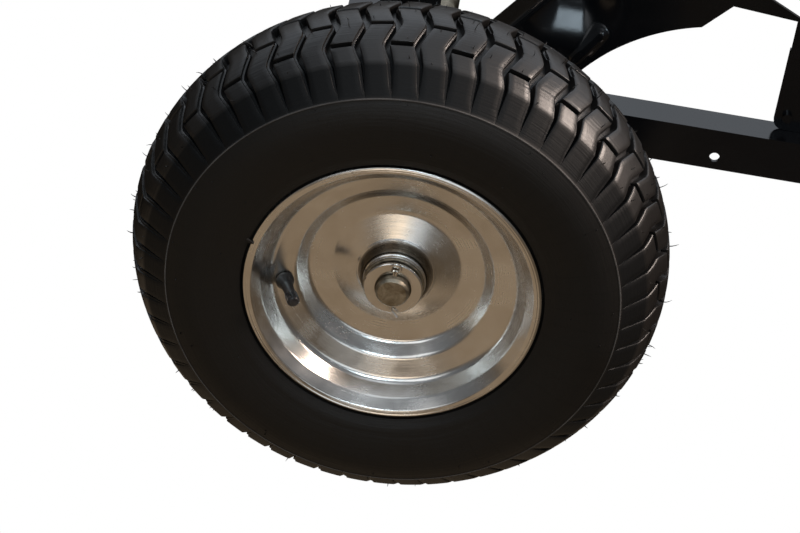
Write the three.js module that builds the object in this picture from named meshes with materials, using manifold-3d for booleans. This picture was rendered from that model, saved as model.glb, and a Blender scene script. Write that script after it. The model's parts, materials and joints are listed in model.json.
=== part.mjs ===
// Tow-behind dump cart: two pneumatic wheels on a straight axle, a black angle-iron frame with
// pressed arch gussets, a drawbar with a pinned clevis, and a steel tub that tips to the rear.
// Millimetres. The pieces are laid out from the ground under the middle of the axle, +X forward
// to the hitch, +Y to the cart's left, +Z up. The whole cart is then moved along X so that the
// origin is on the ground under the middle of its length and width.
import * as THREE from "three";
import { mergeVertices } from "three/addons/utils/BufferGeometryUtils.js";
import Module from "manifold-3d";

const wasm = await Module();
wasm.setup();

// ---------------------------------------------------------------- driving dimensions
const GAP = 0.3; // clearance left between neighbouring pieces
const ROUND = 24; // sides of a large turned piece
const SMALL_ROUND = 16; // sides of a small turned piece

const TYRE_RADIUS = 205;
const TYRE_HALF_WIDTH = 69.5;
const RIM_HALF_WIDTH = 63;
const HALF_TRACK = 450; // from the cart's centre plane to each wheel's
const AXLE_HEIGHT = TYRE_RADIUS;
const AXLE_RADIUS = 12.7;
const AXLE_BORE = AXLE_RADIUS + GAP;
const AXLE_END = HALF_TRACK + RIM_HALF_WIDTH - 3;

const HUB_RADIUS = 24;
const HUB_BORE = 17.8;
const HUB_HALF_LENGTH = 45;
const BEARING_FLANGE = 3;
const BEARING_END = HUB_HALF_LENGTH + GAP + BEARING_FLANGE;
const WASHER_RADIUS = 22.3;
const WASHER_FACE = RIM_HALF_WIDTH - 10; // outer face of the wheel washer, from the wheel centre
const WASHER_THICKNESS = 2.5;
const COTTER_RADIUS = 1.6;

const SHEET = 3; // thickness of the frame's pressed plates
const RAIL_OUTER = 279; // outer face of each side rail, from the centre plane
const RAIL_WIDTH = 29;
const RAIL_TOP = AXLE_HEIGHT + 50;
const RAIL_BOTTOM = AXLE_HEIGHT + 14;
const RAIL_REAR = -80;
const RAIL_FRONT = 625;
const RAIL_HOLE = { x: 236, z: AXLE_HEIGHT + 25, radius: 4.25 };

const GUSSET_PLANE = 263; // middle of the gusset plate, from the centre plane
const GUSSET_CROWN = AXLE_HEIGHT + 188;
const ARCH = { x: 241.9, z: AXLE_HEIGHT - 19.5, radius: 156 };
const UPRIGHT_FRONT = 330;

const PIVOT = { x: -25, z: AXLE_HEIGHT + 150, radius: 8 };
const LATCH_PIVOT = { x: 612, z: AXLE_HEIGHT + 113, radius: 5 };
const LATCH_RELEASE = THREE.MathUtils.degToRad(20); // lean of the lever when it is let go

const CROSS_DEPTH = 36; // fore-and-aft width of a crossmember
const CROSS_REARS = { rear: RAIL_REAR + 2, mid: UPRIGHT_FRONT, front: RAIL_FRONT - 40 };

const TONGUE_SIZE = 38;
const TONGUE_REAR = UPRIGHT_FRONT;
const TONGUE_FRONT = 1120;
const TONGUE_TOP = RAIL_BOTTOM - GAP;
const HITCH = { x: 1168, pinRadius: 8, jawGap: 30, jawThickness: 6, jawHalfWidth: 25 };

const TUB_WALL = 2;
const TUB = { rear: -470, floorFront: 590, lipFront: 650, floorHalf: 323, lipHalf: 372 };
const TUB_BOTTOM = AXLE_HEIGHT + 222;
const TUB_TOP = TUB_BOTTOM + 290;
const LIP = { width: 20, skirt: 17 };
const SILL = 20; // the floor runs on this far behind the walls, under the tailgate

// ---------------------------------------------------------------- finishes
const FINISHES = {
  blackPaint: { color: 0x0c0d0f, roughness: 0.22, metalness: 0.3 },
  zincSteel: { color: 0xa9a196, roughness: 0.32, metalness: 1 },
  darkSteel: { color: 0x6d6a66, roughness: 0.45, metalness: 1 },
  tyreRubber: { color: 0x1b1917, roughness: 0.75, metalness: 0 },
  softRubber: { color: 0x121212, roughness: 0.6, metalness: 0 },
  nylon: { color: 0x2a2a2a, roughness: 0.5, metalness: 0 },
};

// ---------------------------------------------------------------- helpers
const cart = new THREE.Group();

function add(name, geometry, finish, parent = cart) {
  const mesh = new THREE.Mesh(geometry, new THREE.MeshStandardMaterial(FINISHES[finish]));
  mesh.name = name;
  parent.add(mesh);
}

// A closed geometry as a solid that can be cut and joined.
function solidOf(geometry) {
  const bare = geometry.clone();
  bare.deleteAttribute("normal");
  bare.deleteAttribute("uv");
  const merged = mergeVertices(bare);
  return new wasm.Manifold(
    new wasm.Mesh({
      numProp: 3,
      vertProperties: merged.attributes.position.array,
      triVerts: Uint32Array.from(merged.index.array),
    }),
  );
}

function geometryOf(solid) {
  const mesh = solid.getMesh();
  const geometry = new THREE.BufferGeometry();
  geometry.setAttribute("position", new THREE.BufferAttribute(mesh.vertProperties, 3));
  geometry.setIndex(new THREE.BufferAttribute(mesh.triVerts, 1));
  geometry.computeVertexNormals();
  return geometry;
}

function cut(body, ...tools) {
  return geometryOf(tools.reduce((rest, tool) => rest.subtract(solidOf(tool)), solidOf(body)));
}

function join(first, ...others) {
  return geometryOf(others.reduce((sum, other) => sum.add(solidOf(other)), solidOf(first)));
}

function box([x0, x1], [y0, y1], [z0, z1]) {
  const geometry = new THREE.BoxGeometry(x1 - x0, Math.abs(y1 - y0), z1 - z0);
  geometry.translate((x0 + x1) / 2, (y0 + y1) / 2, (z0 + z1) / 2);
  return geometry;
}

// A round bar between two points.
function rod(radius, from, to, sides = SMALL_ROUND) {
  const start = new THREE.Vector3(...from);
  const run = new THREE.Vector3(...to).sub(start);
  const geometry = new THREE.CylinderGeometry(radius, radius, run.length(), sides);
  const upright = new THREE.Vector3(0, 1, 0);
  geometry.applyQuaternion(new THREE.Quaternion().setFromUnitVectors(upright, run.clone().normalize()));
  const middle = start.addScaledVector(run, 0.5);
  geometry.translate(middle.x, middle.y, middle.z);
  return geometry;
}

// A bar along Y, at (x, z), reaching from y0 to y1.
function crossRod(radius, x, z, y0, y1, sides = SMALL_ROUND) {
  return rod(radius, [x, y0, z], [x, y1, z], sides);
}

// A closed profile of [radius, distance along the Y axis], turned about the Y axis.
function turned(profile, sides = ROUND) {
  const points = [...profile, profile[0]].map(([radius, along]) => new THREE.Vector2(radius, along));
  const area = THREE.ShapeUtils.area(points.slice(0, -1));
  if (area < 0) points.reverse();
  return new THREE.LatheGeometry(points, sides);
}

function ring(inner, outer, from, to, sides = ROUND) {
  return turned([[inner, from], [outer, from], [outer, to], [inner, to]], sides);
}

function outlineOf(points) {
  return new THREE.Shape(points.map(([u, v]) => new THREE.Vector2(u, v)));
}

// An outline in X and Z, as a plate from y0 to y1.
function plateAlongY(outline, y0, y1) {
  const depth = Math.abs(y1 - y0);
  const geometry = new THREE.ExtrudeGeometry(outline, { depth, bevelEnabled: false, curveSegments: 10 });
  geometry.rotateX(Math.PI / 2);
  geometry.translate(0, Math.max(y0, y1), 0);
  return geometry;
}

// An outline in Y and Z, as a bar from x0 to x1.
function barAlongX(outline, x0, x1) {
  const geometry = new THREE.ExtrudeGeometry(outline, { depth: x1 - x0, bevelEnabled: false });
  const turn = new THREE.Matrix4().makeBasis(
    new THREE.Vector3(0, 1, 0),
    new THREE.Vector3(0, 0, 1),
    new THREE.Vector3(1, 0, 0),
  );
  geometry.applyMatrix4(turn);
  geometry.translate(x0, 0, 0);
  return geometry;
}

// An outline in X and Y, as a plate from z0 to z1.
function plateAlongZ(outline, z0, z1) {
  const depth = z1 - z0;
  const geometry = new THREE.ExtrudeGeometry(outline, { depth, bevelEnabled: false, curveSegments: 10 });
  geometry.translate(0, 0, z0);
  return geometry;
}

// Round wire along a smooth curve through the points.
function wire(radius, points, steps, sides = 8) {
  const section = new THREE.Shape();
  section.absarc(0, 0, radius, 0, 2 * Math.PI);
  const extrudePath = new THREE.CatmullRomCurve3(points.map((point) => new THREE.Vector3(...point)));
  return new THREE.ExtrudeGeometry(section, {
    steps,
    extrudePath,
    bevelEnabled: false,
    curveSegments: sides,
  });
}

const SIDES = [
  { name: "right", sign: -1 },
  { name: "left", sign: 1 },
];

// ---------------------------------------------------------------- wheels
// Each wheel is drawn about the Y axis with +Y outboard, from the wheel's own centre.

const mirrored = (profile) => profile.map(([radius, along]) => [radius, -along]).reverse();

// Tyre section: outside from the crown to the bead, then the air chamber's wall back to the crown.
const TYRE_OUTSIDE = [
  [TYRE_RADIUS, 8],
  [202, 22],
  [195, 39],
  [184, 54],
  [170, 64.5],
  [151, TYRE_HALF_WIDTH],
  [129, 67.6],
  [116, 63.3],
  [113.2, 57],
];
const TYRE_INSIDE = [
  [103.6, 56.6],
  [99.2, 44],
  [112, 44],
  [126, 56],
  [151, 61],
  [175, 52],
  [188, 33],
];

// Rim half: pressed steel, from the rolled flange through two stepped ledges to the hub collar,
// then back behind the disc to the drum that meets the other half at the wheel's middle.
const RIM_FACE = [
  [112.5, 60],
  [110, RIM_HALF_WIDTH],
  [106.5, 62.4],
  [100, 55],
  [93, 42.5],
  [91, 41],
  [74.5, 35],
  [66.8, 25.8],
  [49.3, 23.5],
  [28.3, 31],
  [26.4, 40.3],
  [HUB_RADIUS + GAP, 40.3],
];
const RIM_BACK = [
  [HUB_RADIUS + GAP, 28.6],
  [48, 20.6],
  [68, 22.8],
  [73.6, 30.5],
  [74.5, GAP / 2],
  [76.9, GAP / 2],
  [76.9, 32.8],
  [92.5, 38.6],
  [95.5, 40],
  [102, 53],
  [103.4, 57.2],
  [112.5, 57.4],
];

// The valve stands square to the outer ledge of the rim, with its base on that ledge.
const VALVE_TURN = THREE.MathUtils.degToRad(-11.8); // angle of the valve round the wheel
const VALVE_BASE = { radius: 84, along: 38.5 };
const VALVE_LEAN = Math.atan2(6, 16.5); // the ledge's own slope
const VALVE_LENGTH = 22;
const CAP_LENGTH = 11;

function placeValve(geometry) {
  geometry.rotateZ(VALVE_LEAN);
  geometry.translate(VALVE_BASE.radius, VALVE_BASE.along, 0);
  geometry.rotateY(-VALVE_TURN);
  return geometry;
}

function addWheel({ name, sign }) {
  const wheel = new THREE.Group();
  wheel.position.set(0, sign * HALF_TRACK, AXLE_HEIGHT);
  wheel.rotation.z = sign > 0 ? 0 : Math.PI;
  cart.add(wheel);

  const outside = [...mirrored(TYRE_OUTSIDE), ...TYRE_OUTSIDE];
  const inside = [...TYRE_INSIDE, ...mirrored(TYRE_INSIDE)];
  add(`tyre_${name}`, turned([...outside, ...inside]), "tyreRubber", wheel);

  const rimHalf = [...RIM_FACE, ...RIM_BACK];
  const valveHole = placeValve(rod(6, [0, -12, 0], [0, 12, 0], 12));
  add(`rim_outer_half_${name}`, cut(turned(rimHalf), valveHole), "zincSteel", wheel);
  add(`rim_inner_half_${name}`, turned(mirrored(rimHalf)), "zincSteel", wheel);

  add(`hub_${name}`, ring(HUB_BORE, HUB_RADIUS, -HUB_HALF_LENGTH, HUB_HALF_LENGTH), "zincSteel", wheel);
  const bearing = [
    [AXLE_BORE, HUB_HALF_LENGTH - 22],
    [HUB_BORE - GAP, HUB_HALF_LENGTH - 22],
    [HUB_BORE - GAP, HUB_HALF_LENGTH + GAP],
    [HUB_RADIUS - 0.8, HUB_HALF_LENGTH + GAP],
    [HUB_RADIUS - 0.8, BEARING_END],
    [AXLE_BORE, BEARING_END],
  ];
  add(`bearing_outer_${name}`, turned(bearing), "darkSteel", wheel);
  add(`bearing_inner_${name}`, turned(mirrored(bearing)), "darkSteel", wheel);

  const stem = [
    [0, -9],
    [8, -7],
    [8, -4.5],
    [5.7, -4],
    [5.7, 1],
    [7.2, 1.3],
    [6.6, 5],
    [4.4, 10],
    [4.2, VALVE_LENGTH],
    [0, VALVE_LENGTH],
  ];
  add(`valve_stem_${name}`, placeValve(turned(stem, 16)), "softRubber", wheel);
  const capBase = VALVE_LENGTH + GAP;
  const cap = [
    [0, capBase],
    [4.9, capBase],
    [4.9, capBase + CAP_LENGTH - 1.5],
    [3.6, capBase + CAP_LENGTH],
    [0, capBase + CAP_LENGTH],
  ];
  add(`valve_cap_${name}`, placeValve(turned(cap, 16)), "nylon", wheel);
}

// ---------------------------------------------------------------- axle
function addAxle() {
  const cotterPlane = HALF_TRACK + WASHER_FACE + GAP + COTTER_RADIUS;
  const bar = crossRod(AXLE_RADIUS, 0, AXLE_HEIGHT, -AXLE_END, AXLE_END, ROUND);
  const cotterHole = ({ sign }) => rod(
    COTTER_RADIUS + GAP,
    [0, sign * cotterPlane, AXLE_HEIGHT - 20],
    [0, sign * cotterPlane, AXLE_HEIGHT + 20],
    12,
  );
  add("axle", cut(bar, ...SIDES.map(cotterHole)), "darkSteel");

  for (const { name, sign } of SIDES) {
    const atAxle = (geometry) => geometry.translate(0, 0, AXLE_HEIGHT);
    const between = (inner, outer, from, to) => {
      const [low, high] = [sign * from, sign * to].sort((a, b) => a - b);
      return atAxle(ring(inner, outer, low, high));
    };
    const spacerEnd = HALF_TRACK - BEARING_END - GAP;
    add(`axle_spacer_${name}`, between(AXLE_BORE, 16, RAIL_OUTER + GAP, spacerEnd), "blackPaint");
    const washerFace = HALF_TRACK + WASHER_FACE;
    add(
      `wheel_washer_${name}`,
      between(AXLE_BORE, WASHER_RADIUS, washerFace - WASHER_THICKNESS, washerFace),
      "zincSteel",
    );
    add(`cotter_pin_${name}`, cotterPin(sign * cotterPlane, sign), "zincSteel");
  }
}

// A split pin down through the axle, with its eye on top and one leg bent over below.
function cotterPin(y, sign) {
  const EYE = 3.6;
  const reach = AXLE_RADIUS + 4;
  const shank = rod(COTTER_RADIUS, [0, y, AXLE_HEIGHT - reach], [0, y, AXLE_HEIGHT + reach], 12);
  const eye = new THREE.TorusGeometry(EYE, 1.3, 8, 16);
  eye.rotateX(Math.PI / 2);
  eye.translate(0, y, AXLE_HEIGHT + reach + EYE);
  const bend = [0, y, AXLE_HEIGHT - reach + 1];
  const bent = rod(1.3, bend, [7, y + sign * 1.5, AXLE_HEIGHT - reach - 6], 8);
  return join(shank, eye, bent);
}

// ---------------------------------------------------------------- frame
function addRail({ name, sign }) {
  const angle = outlineOf([
    [sign * RAIL_OUTER, RAIL_BOTTOM],
    [sign * RAIL_OUTER, RAIL_TOP],
    [sign * (RAIL_OUTER - RAIL_WIDTH), RAIL_TOP],
    [sign * (RAIL_OUTER - RAIL_WIDTH), RAIL_TOP - SHEET],
    [sign * (RAIL_OUTER - SHEET), RAIL_TOP - SHEET],
    [sign * (RAIL_OUTER - SHEET), RAIL_BOTTOM],
  ]);
  const { x, z, radius } = RAIL_HOLE;
  const hole = crossRod(radius, x, z, sign * (RAIL_OUTER - 10), sign * (RAIL_OUTER + 10));
  add(`side_rail_${name}`, cut(barAlongX(angle, RAIL_REAR, RAIL_FRONT), hole), "blackPaint");
}

// The plate inside each rail that the axle runs through, with a rounded lower end.
function addAxleBracket({ name, sign }) {
  const HALF_WIDTH = 32;
  const outer = RAIL_OUTER - SHEET - GAP;
  const top = RAIL_TOP - SHEET - GAP;
  const outline = new THREE.Shape();
  outline.moveTo(HALF_WIDTH, top);
  outline.lineTo(-HALF_WIDTH, top);
  outline.lineTo(-HALF_WIDTH, AXLE_HEIGHT);
  outline.absarc(0, AXLE_HEIGHT, HALF_WIDTH, Math.PI, 2 * Math.PI);
  const plate = plateAlongY(outline, sign * (outer - 6), sign * outer);
  const bore = crossRod(AXLE_BORE, 0, AXLE_HEIGHT, sign * (outer - 20), sign * (outer + 20), ROUND);
  add(`axle_bracket_${name}`, cut(plate, bore), "blackPaint");
}

// Pressed gusset: a flanged leg on the rail ahead of the axle, a flanged crown under the tub, and a
// plain nose that runs forward over an arched opening and laps the upright.
function addGusset({ name, sign }) {
  const FOOT_REAR = 15;
  const LEG_SLOPE = THREE.MathUtils.degToRad(52.9);
  const NOSE_SLOPE = THREE.MathUtils.degToRad(26);
  const NOSE_START = 210;
  const NOSE_UNDER = { rear: AXLE_HEIGHT + 155, front: AXLE_HEIGHT + 151 };
  const STEP = { x: 205, run: 21 };
  const LAP_BOTTOM = AXLE_HEIGHT + 118;
  const LAP_REAR = UPRIGHT_FRONT - 52;
  const FLANGE = { leg: 41, crown: 17 };

  const base = RAIL_TOP + GAP;
  const crownRear = FOOT_REAR + (GUSSET_CROWN - base) / Math.tan(LEG_SLOPE);
  const noseTop = (x) => GUSSET_CROWN - (x - NOSE_START) * Math.tan(NOSE_SLOPE);
  const archStart = Math.PI - Math.asin((base - ARCH.z) / ARCH.radius);
  const archEnd = Math.acos((STEP.x - ARCH.x) / ARCH.radius);

  const outline = new THREE.Shape();
  outline.moveTo(FOOT_REAR, base);
  outline.lineTo(crownRear, GUSSET_CROWN);
  outline.lineTo(NOSE_START, GUSSET_CROWN);
  outline.lineTo(UPRIGHT_FRONT, noseTop(UPRIGHT_FRONT));
  outline.lineTo(UPRIGHT_FRONT, LAP_BOTTOM);
  outline.lineTo(LAP_REAR, LAP_BOTTOM);
  outline.lineTo(LAP_REAR, NOSE_UNDER.front);
  outline.lineTo(STEP.x + STEP.run, NOSE_UNDER.rear);
  outline.absarc(ARCH.x, ARCH.z, ARCH.radius, archEnd, archStart, false);
  const web = plateAlongY(outline, sign * (GUSSET_PLANE - SHEET / 2), sign * (GUSSET_PLANE + SHEET / 2));

  // Flanges folded inward along the sloping rear edge and along the crown.
  const edge = (width, x0, z0, x1, z1) => {
    const length = Math.hypot(x1 - x0, z1 - z0);
    const [nx, nz] = [(z1 - z0) / length, -(x1 - x0) / length];
    const corners = outlineOf([
      [x0, z0],
      [x1, z1],
      [x1 + nx * SHEET, z1 + nz * SHEET],
      [x0 + nx * SHEET, z0 + nz * SHEET],
    ]);
    const outer = GUSSET_PLANE + SHEET / 2;
    return plateAlongY(corners, sign * (outer - width), sign * outer);
  };
  const flangeLift = SHEET * Math.cos(LEG_SLOPE);
  const flangeFoot = FOOT_REAR + flangeLift / Math.tan(LEG_SLOPE);
  const legFlange = edge(FLANGE.leg, flangeFoot, base + flangeLift, crownRear, GUSSET_CROWN);
  const crownFlange = edge(FLANGE.crown, crownRear, GUSSET_CROWN, NOSE_START, GUSSET_CROWN);
  add(`arch_gusset_${name}`, join(web, legFlange, crownFlange), "blackPaint");
}

// Flat upright behind the gusset's nose, standing on the rail on a rounded lower corner.
function addUpright({ name, sign }) {
  const REAR = UPRIGHT_FRONT - 52.5;
  const CORNER = 9;
  const BOLT = { x: REAR + 10, z: RAIL_TOP + 13, radius: 4 };
  const base = RAIL_TOP + GAP;
  const top = AXLE_HEIGHT + 124;
  const outer = GUSSET_PLANE - SHEET / 2 - GAP;
  const outline = new THREE.Shape();
  outline.moveTo(REAR, top);
  outline.lineTo(REAR, base + CORNER);
  outline.absarc(REAR + CORNER, base + CORNER, CORNER, Math.PI, 1.5 * Math.PI);
  outline.lineTo(UPRIGHT_FRONT, base);
  outline.lineTo(UPRIGHT_FRONT, top);
  const plate = plateAlongY(outline, sign * (outer - SHEET), sign * outer);
  const head = crossRod(BOLT.radius, BOLT.x, BOLT.z, sign * (outer - 1), sign * (outer + 4), 16);
  add(`upright_${name}`, join(plate, head), "blackPaint");
}

// Bracket on the rail behind the axle, holding an end of the dump pivot rod.
function addPivotBracket({ name, sign }) {
  const HALF_WIDTH = 22;
  const FOOT_HALF = 27;
  const base = RAIL_TOP + GAP;
  const inner = GUSSET_PLANE - SHEET / 2;
  const outline = new THREE.Shape();
  outline.moveTo(PIVOT.x - FOOT_HALF, base);
  outline.lineTo(PIVOT.x + FOOT_HALF, base);
  outline.lineTo(PIVOT.x + HALF_WIDTH, PIVOT.z);
  outline.absarc(PIVOT.x, PIVOT.z, HALF_WIDTH, 0, Math.PI);
  const plate = plateAlongY(outline, sign * inner, sign * (inner + SHEET));
  const foot = box(
    [PIVOT.x - FOOT_HALF, PIVOT.x + FOOT_HALF],
    [sign * inner, sign * (RAIL_OUTER - 1)],
    [base, base + SHEET],
  );
  const bore = crossRod(PIVOT.radius + GAP, PIVOT.x, PIVOT.z, sign * (inner - 20), sign * (inner + 20));
  add(`pivot_bracket_${name}`, cut(join(plate, foot), bore), "blackPaint");
}

function addPivotRod() {
  const retainer = GUSSET_PLANE + SHEET / 2 + GAP;
  const end = retainer + 7;
  add("pivot_rod", crossRod(PIVOT.radius, PIVOT.x, PIVOT.z, -end, end), "zincSteel");
  for (const { name, sign } of SIDES) {
    const [low, high] = [sign * retainer, sign * (retainer + 3)].sort((a, b) => a - b);
    const nut = ring(PIVOT.radius + GAP, 13, low, high, SMALL_ROUND);
    nut.translate(PIVOT.x, 0, PIVOT.z);
    add(`pivot_retainer_${name}`, nut, "zincSteel");
  }
}

// Channel section between the rails, open to the rear, tucked under the rails' top flanges.
function addCrossmember(name, rear) {
  const half = RAIL_OUTER - SHEET - GAP;
  const top = RAIL_TOP - SHEET - GAP;
  const channel = outlineOf([
    [rear, RAIL_BOTTOM],
    [rear + CROSS_DEPTH, RAIL_BOTTOM],
    [rear + CROSS_DEPTH, top],
    [rear, top],
    [rear, top - SHEET],
    [rear + CROSS_DEPTH - SHEET, top - SHEET],
    [rear + CROSS_DEPTH - SHEET, RAIL_BOTTOM + SHEET],
    [rear, RAIL_BOTTOM + SHEET],
  ]);
  add(`${name}_crossmember`, plateAlongY(channel, -half, half), "blackPaint");
}

// ---------------------------------------------------------------- drawbar and hitch
function addDrawbar() {
  const half = TONGUE_SIZE / 2;
  const bottom = TONGUE_TOP - TONGUE_SIZE;
  const section = outlineOf([[-half, bottom], [half, bottom], [half, TONGUE_TOP], [-half, TONGUE_TOP]]);
  section.holes.push(
    outlineOf([
      [-half + SHEET, bottom + SHEET],
      [half - SHEET, bottom + SHEET],
      [half - SHEET, TONGUE_TOP - SHEET],
      [-half + SHEET, TONGUE_TOP - SHEET],
    ]),
  );
  add("drawbar", barAlongX(section, TONGUE_REAR, TONGUE_FRONT), "blackPaint");

  const middle = TONGUE_TOP - half;
  const inside = HITCH.jawGap / 2;
  const outside = inside + HITCH.jawThickness;
  const rear = TONGUE_FRONT + GAP;
  const jawOutline = new THREE.Shape();
  jawOutline.moveTo(rear, HITCH.jawHalfWidth);
  jawOutline.lineTo(rear, -HITCH.jawHalfWidth);
  jawOutline.absarc(HITCH.x, 0, HITCH.jawHalfWidth, -Math.PI / 2, Math.PI / 2);
  const jaws = join(
    plateAlongZ(jawOutline, middle + inside, middle + outside),
    plateAlongZ(jawOutline, middle - outside, middle - inside),
    box(
      [rear, rear + HITCH.jawThickness],
      [-HITCH.jawHalfWidth, HITCH.jawHalfWidth],
      [middle - outside, middle + outside],
    ),
  );
  const bore = rod(HITCH.pinRadius + GAP, [HITCH.x, 0, middle - 40], [HITCH.x, 0, middle + 40]);
  add("hitch_clevis", cut(jaws, bore), "blackPaint");
  addHitchPin(middle + outside, middle - outside);
}

// The pin drops through both jaws; its clip goes through a cross hole below the lower jaw.
function addHitchPin(jawTop, jawBottom) {
  const CLIP_WIRE = 1.7;
  const CLIP_PLAY = 4; // how far the pin lifts before its clip meets the lower jaw
  const clipHeight = jawBottom - CLIP_PLAY - GAP - CLIP_WIRE;
  const shaft = rod(HITCH.pinRadius, [HITCH.x, 0, clipHeight - 12], [HITCH.x, 0, jawTop + 10]);
  const collar = rod(14, [HITCH.x, 0, jawTop + GAP], [HITCH.x, 0, jawTop + GAP + 4]);
  const handle = wire(
    4.5,
    [
      [HITCH.x, 0, jawTop + 6],
      [HITCH.x, 0, jawTop + 24],
      [HITCH.x, 8, jawTop + 38],
      [HITCH.x, 26, jawTop + 44],
      [HITCH.x, 62, jawTop + 44],
    ],
    12,
    4,
  );
  const clipHole = crossRod(CLIP_WIRE + 2 * GAP, HITCH.x, clipHeight, -20, 20, 12);
  add("hitch_pin", cut(join(shaft, collar, handle), clipHole), "zincSteel");

  const clip = [
    [0, -15],
    [0, 0],
    [0, 28],
    [-2.5, 42],
    [4, 51],
    [12, 47],
    [12.5, 34],
    [11.6, 18],
    [13, 6],
    [13, -6],
    [16, -16],
  ];
  const clipPoints = clip.map(([x, y]) => [HITCH.x + x, y, clipHeight]);
  add("hairpin_clip", wire(CLIP_WIRE, clipPoints, 28, 3), "zincSteel");
}

// ---------------------------------------------------------------- tub
const wallHalf = (z) => {
  const share = (z - TUB_BOTTOM) / (TUB_TOP - TUB_BOTTOM);
  return THREE.MathUtils.lerp(TUB.floorHalf, TUB.lipHalf, share);
};
const wallFront = (z) => {
  const share = (z - TUB_BOTTOM) / (TUB_TOP - TUB_BOTTOM);
  return THREE.MathUtils.lerp(TUB.floorFront, TUB.lipFront, share);
};

// The block inside the tub's walls, moved in by inset, from z0 to z1 and back to the given rear.
function tubBlock(inset, rear, z0, z1) {
  const block = box([rear, 0], [-1, 1], [z0, z1]);
  const places = block.attributes.position;
  for (let i = 0; i < places.count; i += 1) {
    const z = places.getZ(i);
    if (places.getX(i) > rear) places.setX(i, wallFront(z) - inset);
    places.setY(i, Math.sign(places.getY(i)) * (wallHalf(z) - inset));
  }
  return block;
}

function addTub() {
  const shell = tubBlock(0, TUB.rear, TUB_BOTTOM, TUB_TOP);
  const inside = tubBlock(TUB_WALL, TUB.rear - 50, TUB_BOTTOM + TUB_WALL, TUB_TOP + 5);
  const sill = box(
    [TUB.rear - SILL, TUB.rear + 1],
    [-TUB.floorHalf, TUB.floorHalf],
    [TUB_BOTTOM, TUB_BOTTOM + TUB_WALL],
  );
  const lipFront = TUB.lipFront + LIP.width;
  const lipHalf = TUB.lipHalf + LIP.width;
  const lip = box([TUB.rear, lipFront], [-lipHalf, lipHalf], [TUB_TOP - LIP.skirt, TUB_TOP]);
  const underLip = box(
    [TUB.rear - 1, lipFront - TUB_WALL],
    [-lipHalf + TUB_WALL, lipHalf - TUB_WALL],
    [TUB_TOP - LIP.skirt - 1, TUB_TOP - TUB_WALL],
  );
  const body = join(cut(lip, underLip), shell, sill);
  add("tub", cut(body, inside), "blackPaint");
}

// Hat section welded across under the floor. The forward one rests on the gussets' crowns.
function addTubChannel(name, rear) {
  const WIDTH = 50;
  const HALF_LENGTH = 300;
  const top = TUB_BOTTOM - GAP;
  const bottom = GUSSET_CROWN + GAP;
  const hat = outlineOf([
    [rear, bottom],
    [rear + WIDTH, bottom],
    [rear + WIDTH, top],
    [rear + WIDTH - SHEET, top],
    [rear + WIDTH - SHEET, bottom + SHEET],
    [rear + SHEET, bottom + SHEET],
    [rear + SHEET, top],
    [rear, top],
  ]);
  add(`tub_channel_${name}`, plateAlongY(hat, -HALF_LENGTH, HALF_LENGTH), "blackPaint");
}

// Ear under the floor that hangs on the pivot rod, just inside the pivot bracket.
function addHingeEar({ name, sign }) {
  const HALF_WIDTH = 22;
  const THICKNESS = 4;
  const outer = GUSSET_PLANE - SHEET / 2 - GAP;
  const top = TUB_BOTTOM - GAP;
  const outline = new THREE.Shape();
  outline.moveTo(PIVOT.x + HALF_WIDTH + 8, top);
  outline.lineTo(PIVOT.x - HALF_WIDTH - 8, top);
  outline.lineTo(PIVOT.x - HALF_WIDTH, PIVOT.z);
  outline.absarc(PIVOT.x, PIVOT.z, HALF_WIDTH, Math.PI, 2 * Math.PI);
  const plate = plateAlongY(outline, sign * (outer - THICKNESS), sign * outer);
  const flange = box(
    [PIVOT.x - HALF_WIDTH - 8, PIVOT.x + HALF_WIDTH + 8],
    [sign * (outer - 30), sign * outer],
    [top - THICKNESS, top],
  );
  const bore = crossRod(PIVOT.radius + GAP, PIVOT.x, PIVOT.z, sign * (outer - 20), sign * (outer + 20));
  add(`hinge_ear_${name}`, cut(join(plate, flange), bore), "blackPaint");
}

// A slat that leans with the tub's side wall, from inset a to inset b inside the wall's face.
function leaningSlat(sign, a, b, x0, x1, z0, z1) {
  const corners = [
    [sign * (wallHalf(z0) - a), z0],
    [sign * (wallHalf(z0) - b), z0],
    [sign * (wallHalf(z1) - b), z1],
    [sign * (wallHalf(z1) - a), z1],
  ];
  return barAlongX(outlineOf(corners), x0, x1);
}

const GATE = { rear: TUB.rear - 12, edge: 6, bottom: TUB_BOTTOM + TUB_WALL + GAP, pull: 22 };

// Guide channel on the rear end of each side wall; the tailgate drops into it from above.
function addGateChannel({ name, sign }) {
  const FLANGE = 26;
  const GUIDE = { rear: TUB.rear - 17, front: TUB.rear - GAP };
  const top = TUB_TOP - 2;
  const slat = (a, b, x0, x1) => leaningSlat(sign, a, b, x0, x1, GATE.bottom, top);
  const web = slat(1, GATE.edge - 1, GUIDE.rear, GUIDE.front);
  const rearFlange = slat(1, FLANGE, GUIDE.rear, GUIDE.rear + 2);
  const frontFlange = slat(1, FLANGE, GUIDE.front - 2, GUIDE.front);
  add(`gate_channel_${name}`, join(web, rearFlange, frontFlange), "blackPaint");
}

function addTailgate() {
  const front = GATE.rear + 3;
  const top = TUB_TOP - 6;
  const corners = [
    [-wallHalf(GATE.bottom) + GATE.edge, GATE.bottom],
    [wallHalf(GATE.bottom) - GATE.edge, GATE.bottom],
    [wallHalf(top) - GATE.edge, top],
    [-wallHalf(top) + GATE.edge, top],
  ];
  const panel = barAlongX(outlineOf(corners), GATE.rear, front);
  const pullHalf = wallHalf(top) - 60;
  const pullRear = GATE.rear - GATE.pull;
  const pullFlange = box([pullRear, front], [-pullHalf, pullHalf], [top - 2, top]);
  const pullSkirt = box([pullRear, pullRear + 2], [-pullHalf, pullHalf], [top - 14, top]);
  add("tailgate", join(panel, pullFlange, pullSkirt), "blackPaint");
}

// ---------------------------------------------------------------- dump latch
const STRIKER = { x: 585, z: TUB_BOTTOM - 22, radius: 5 };

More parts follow.
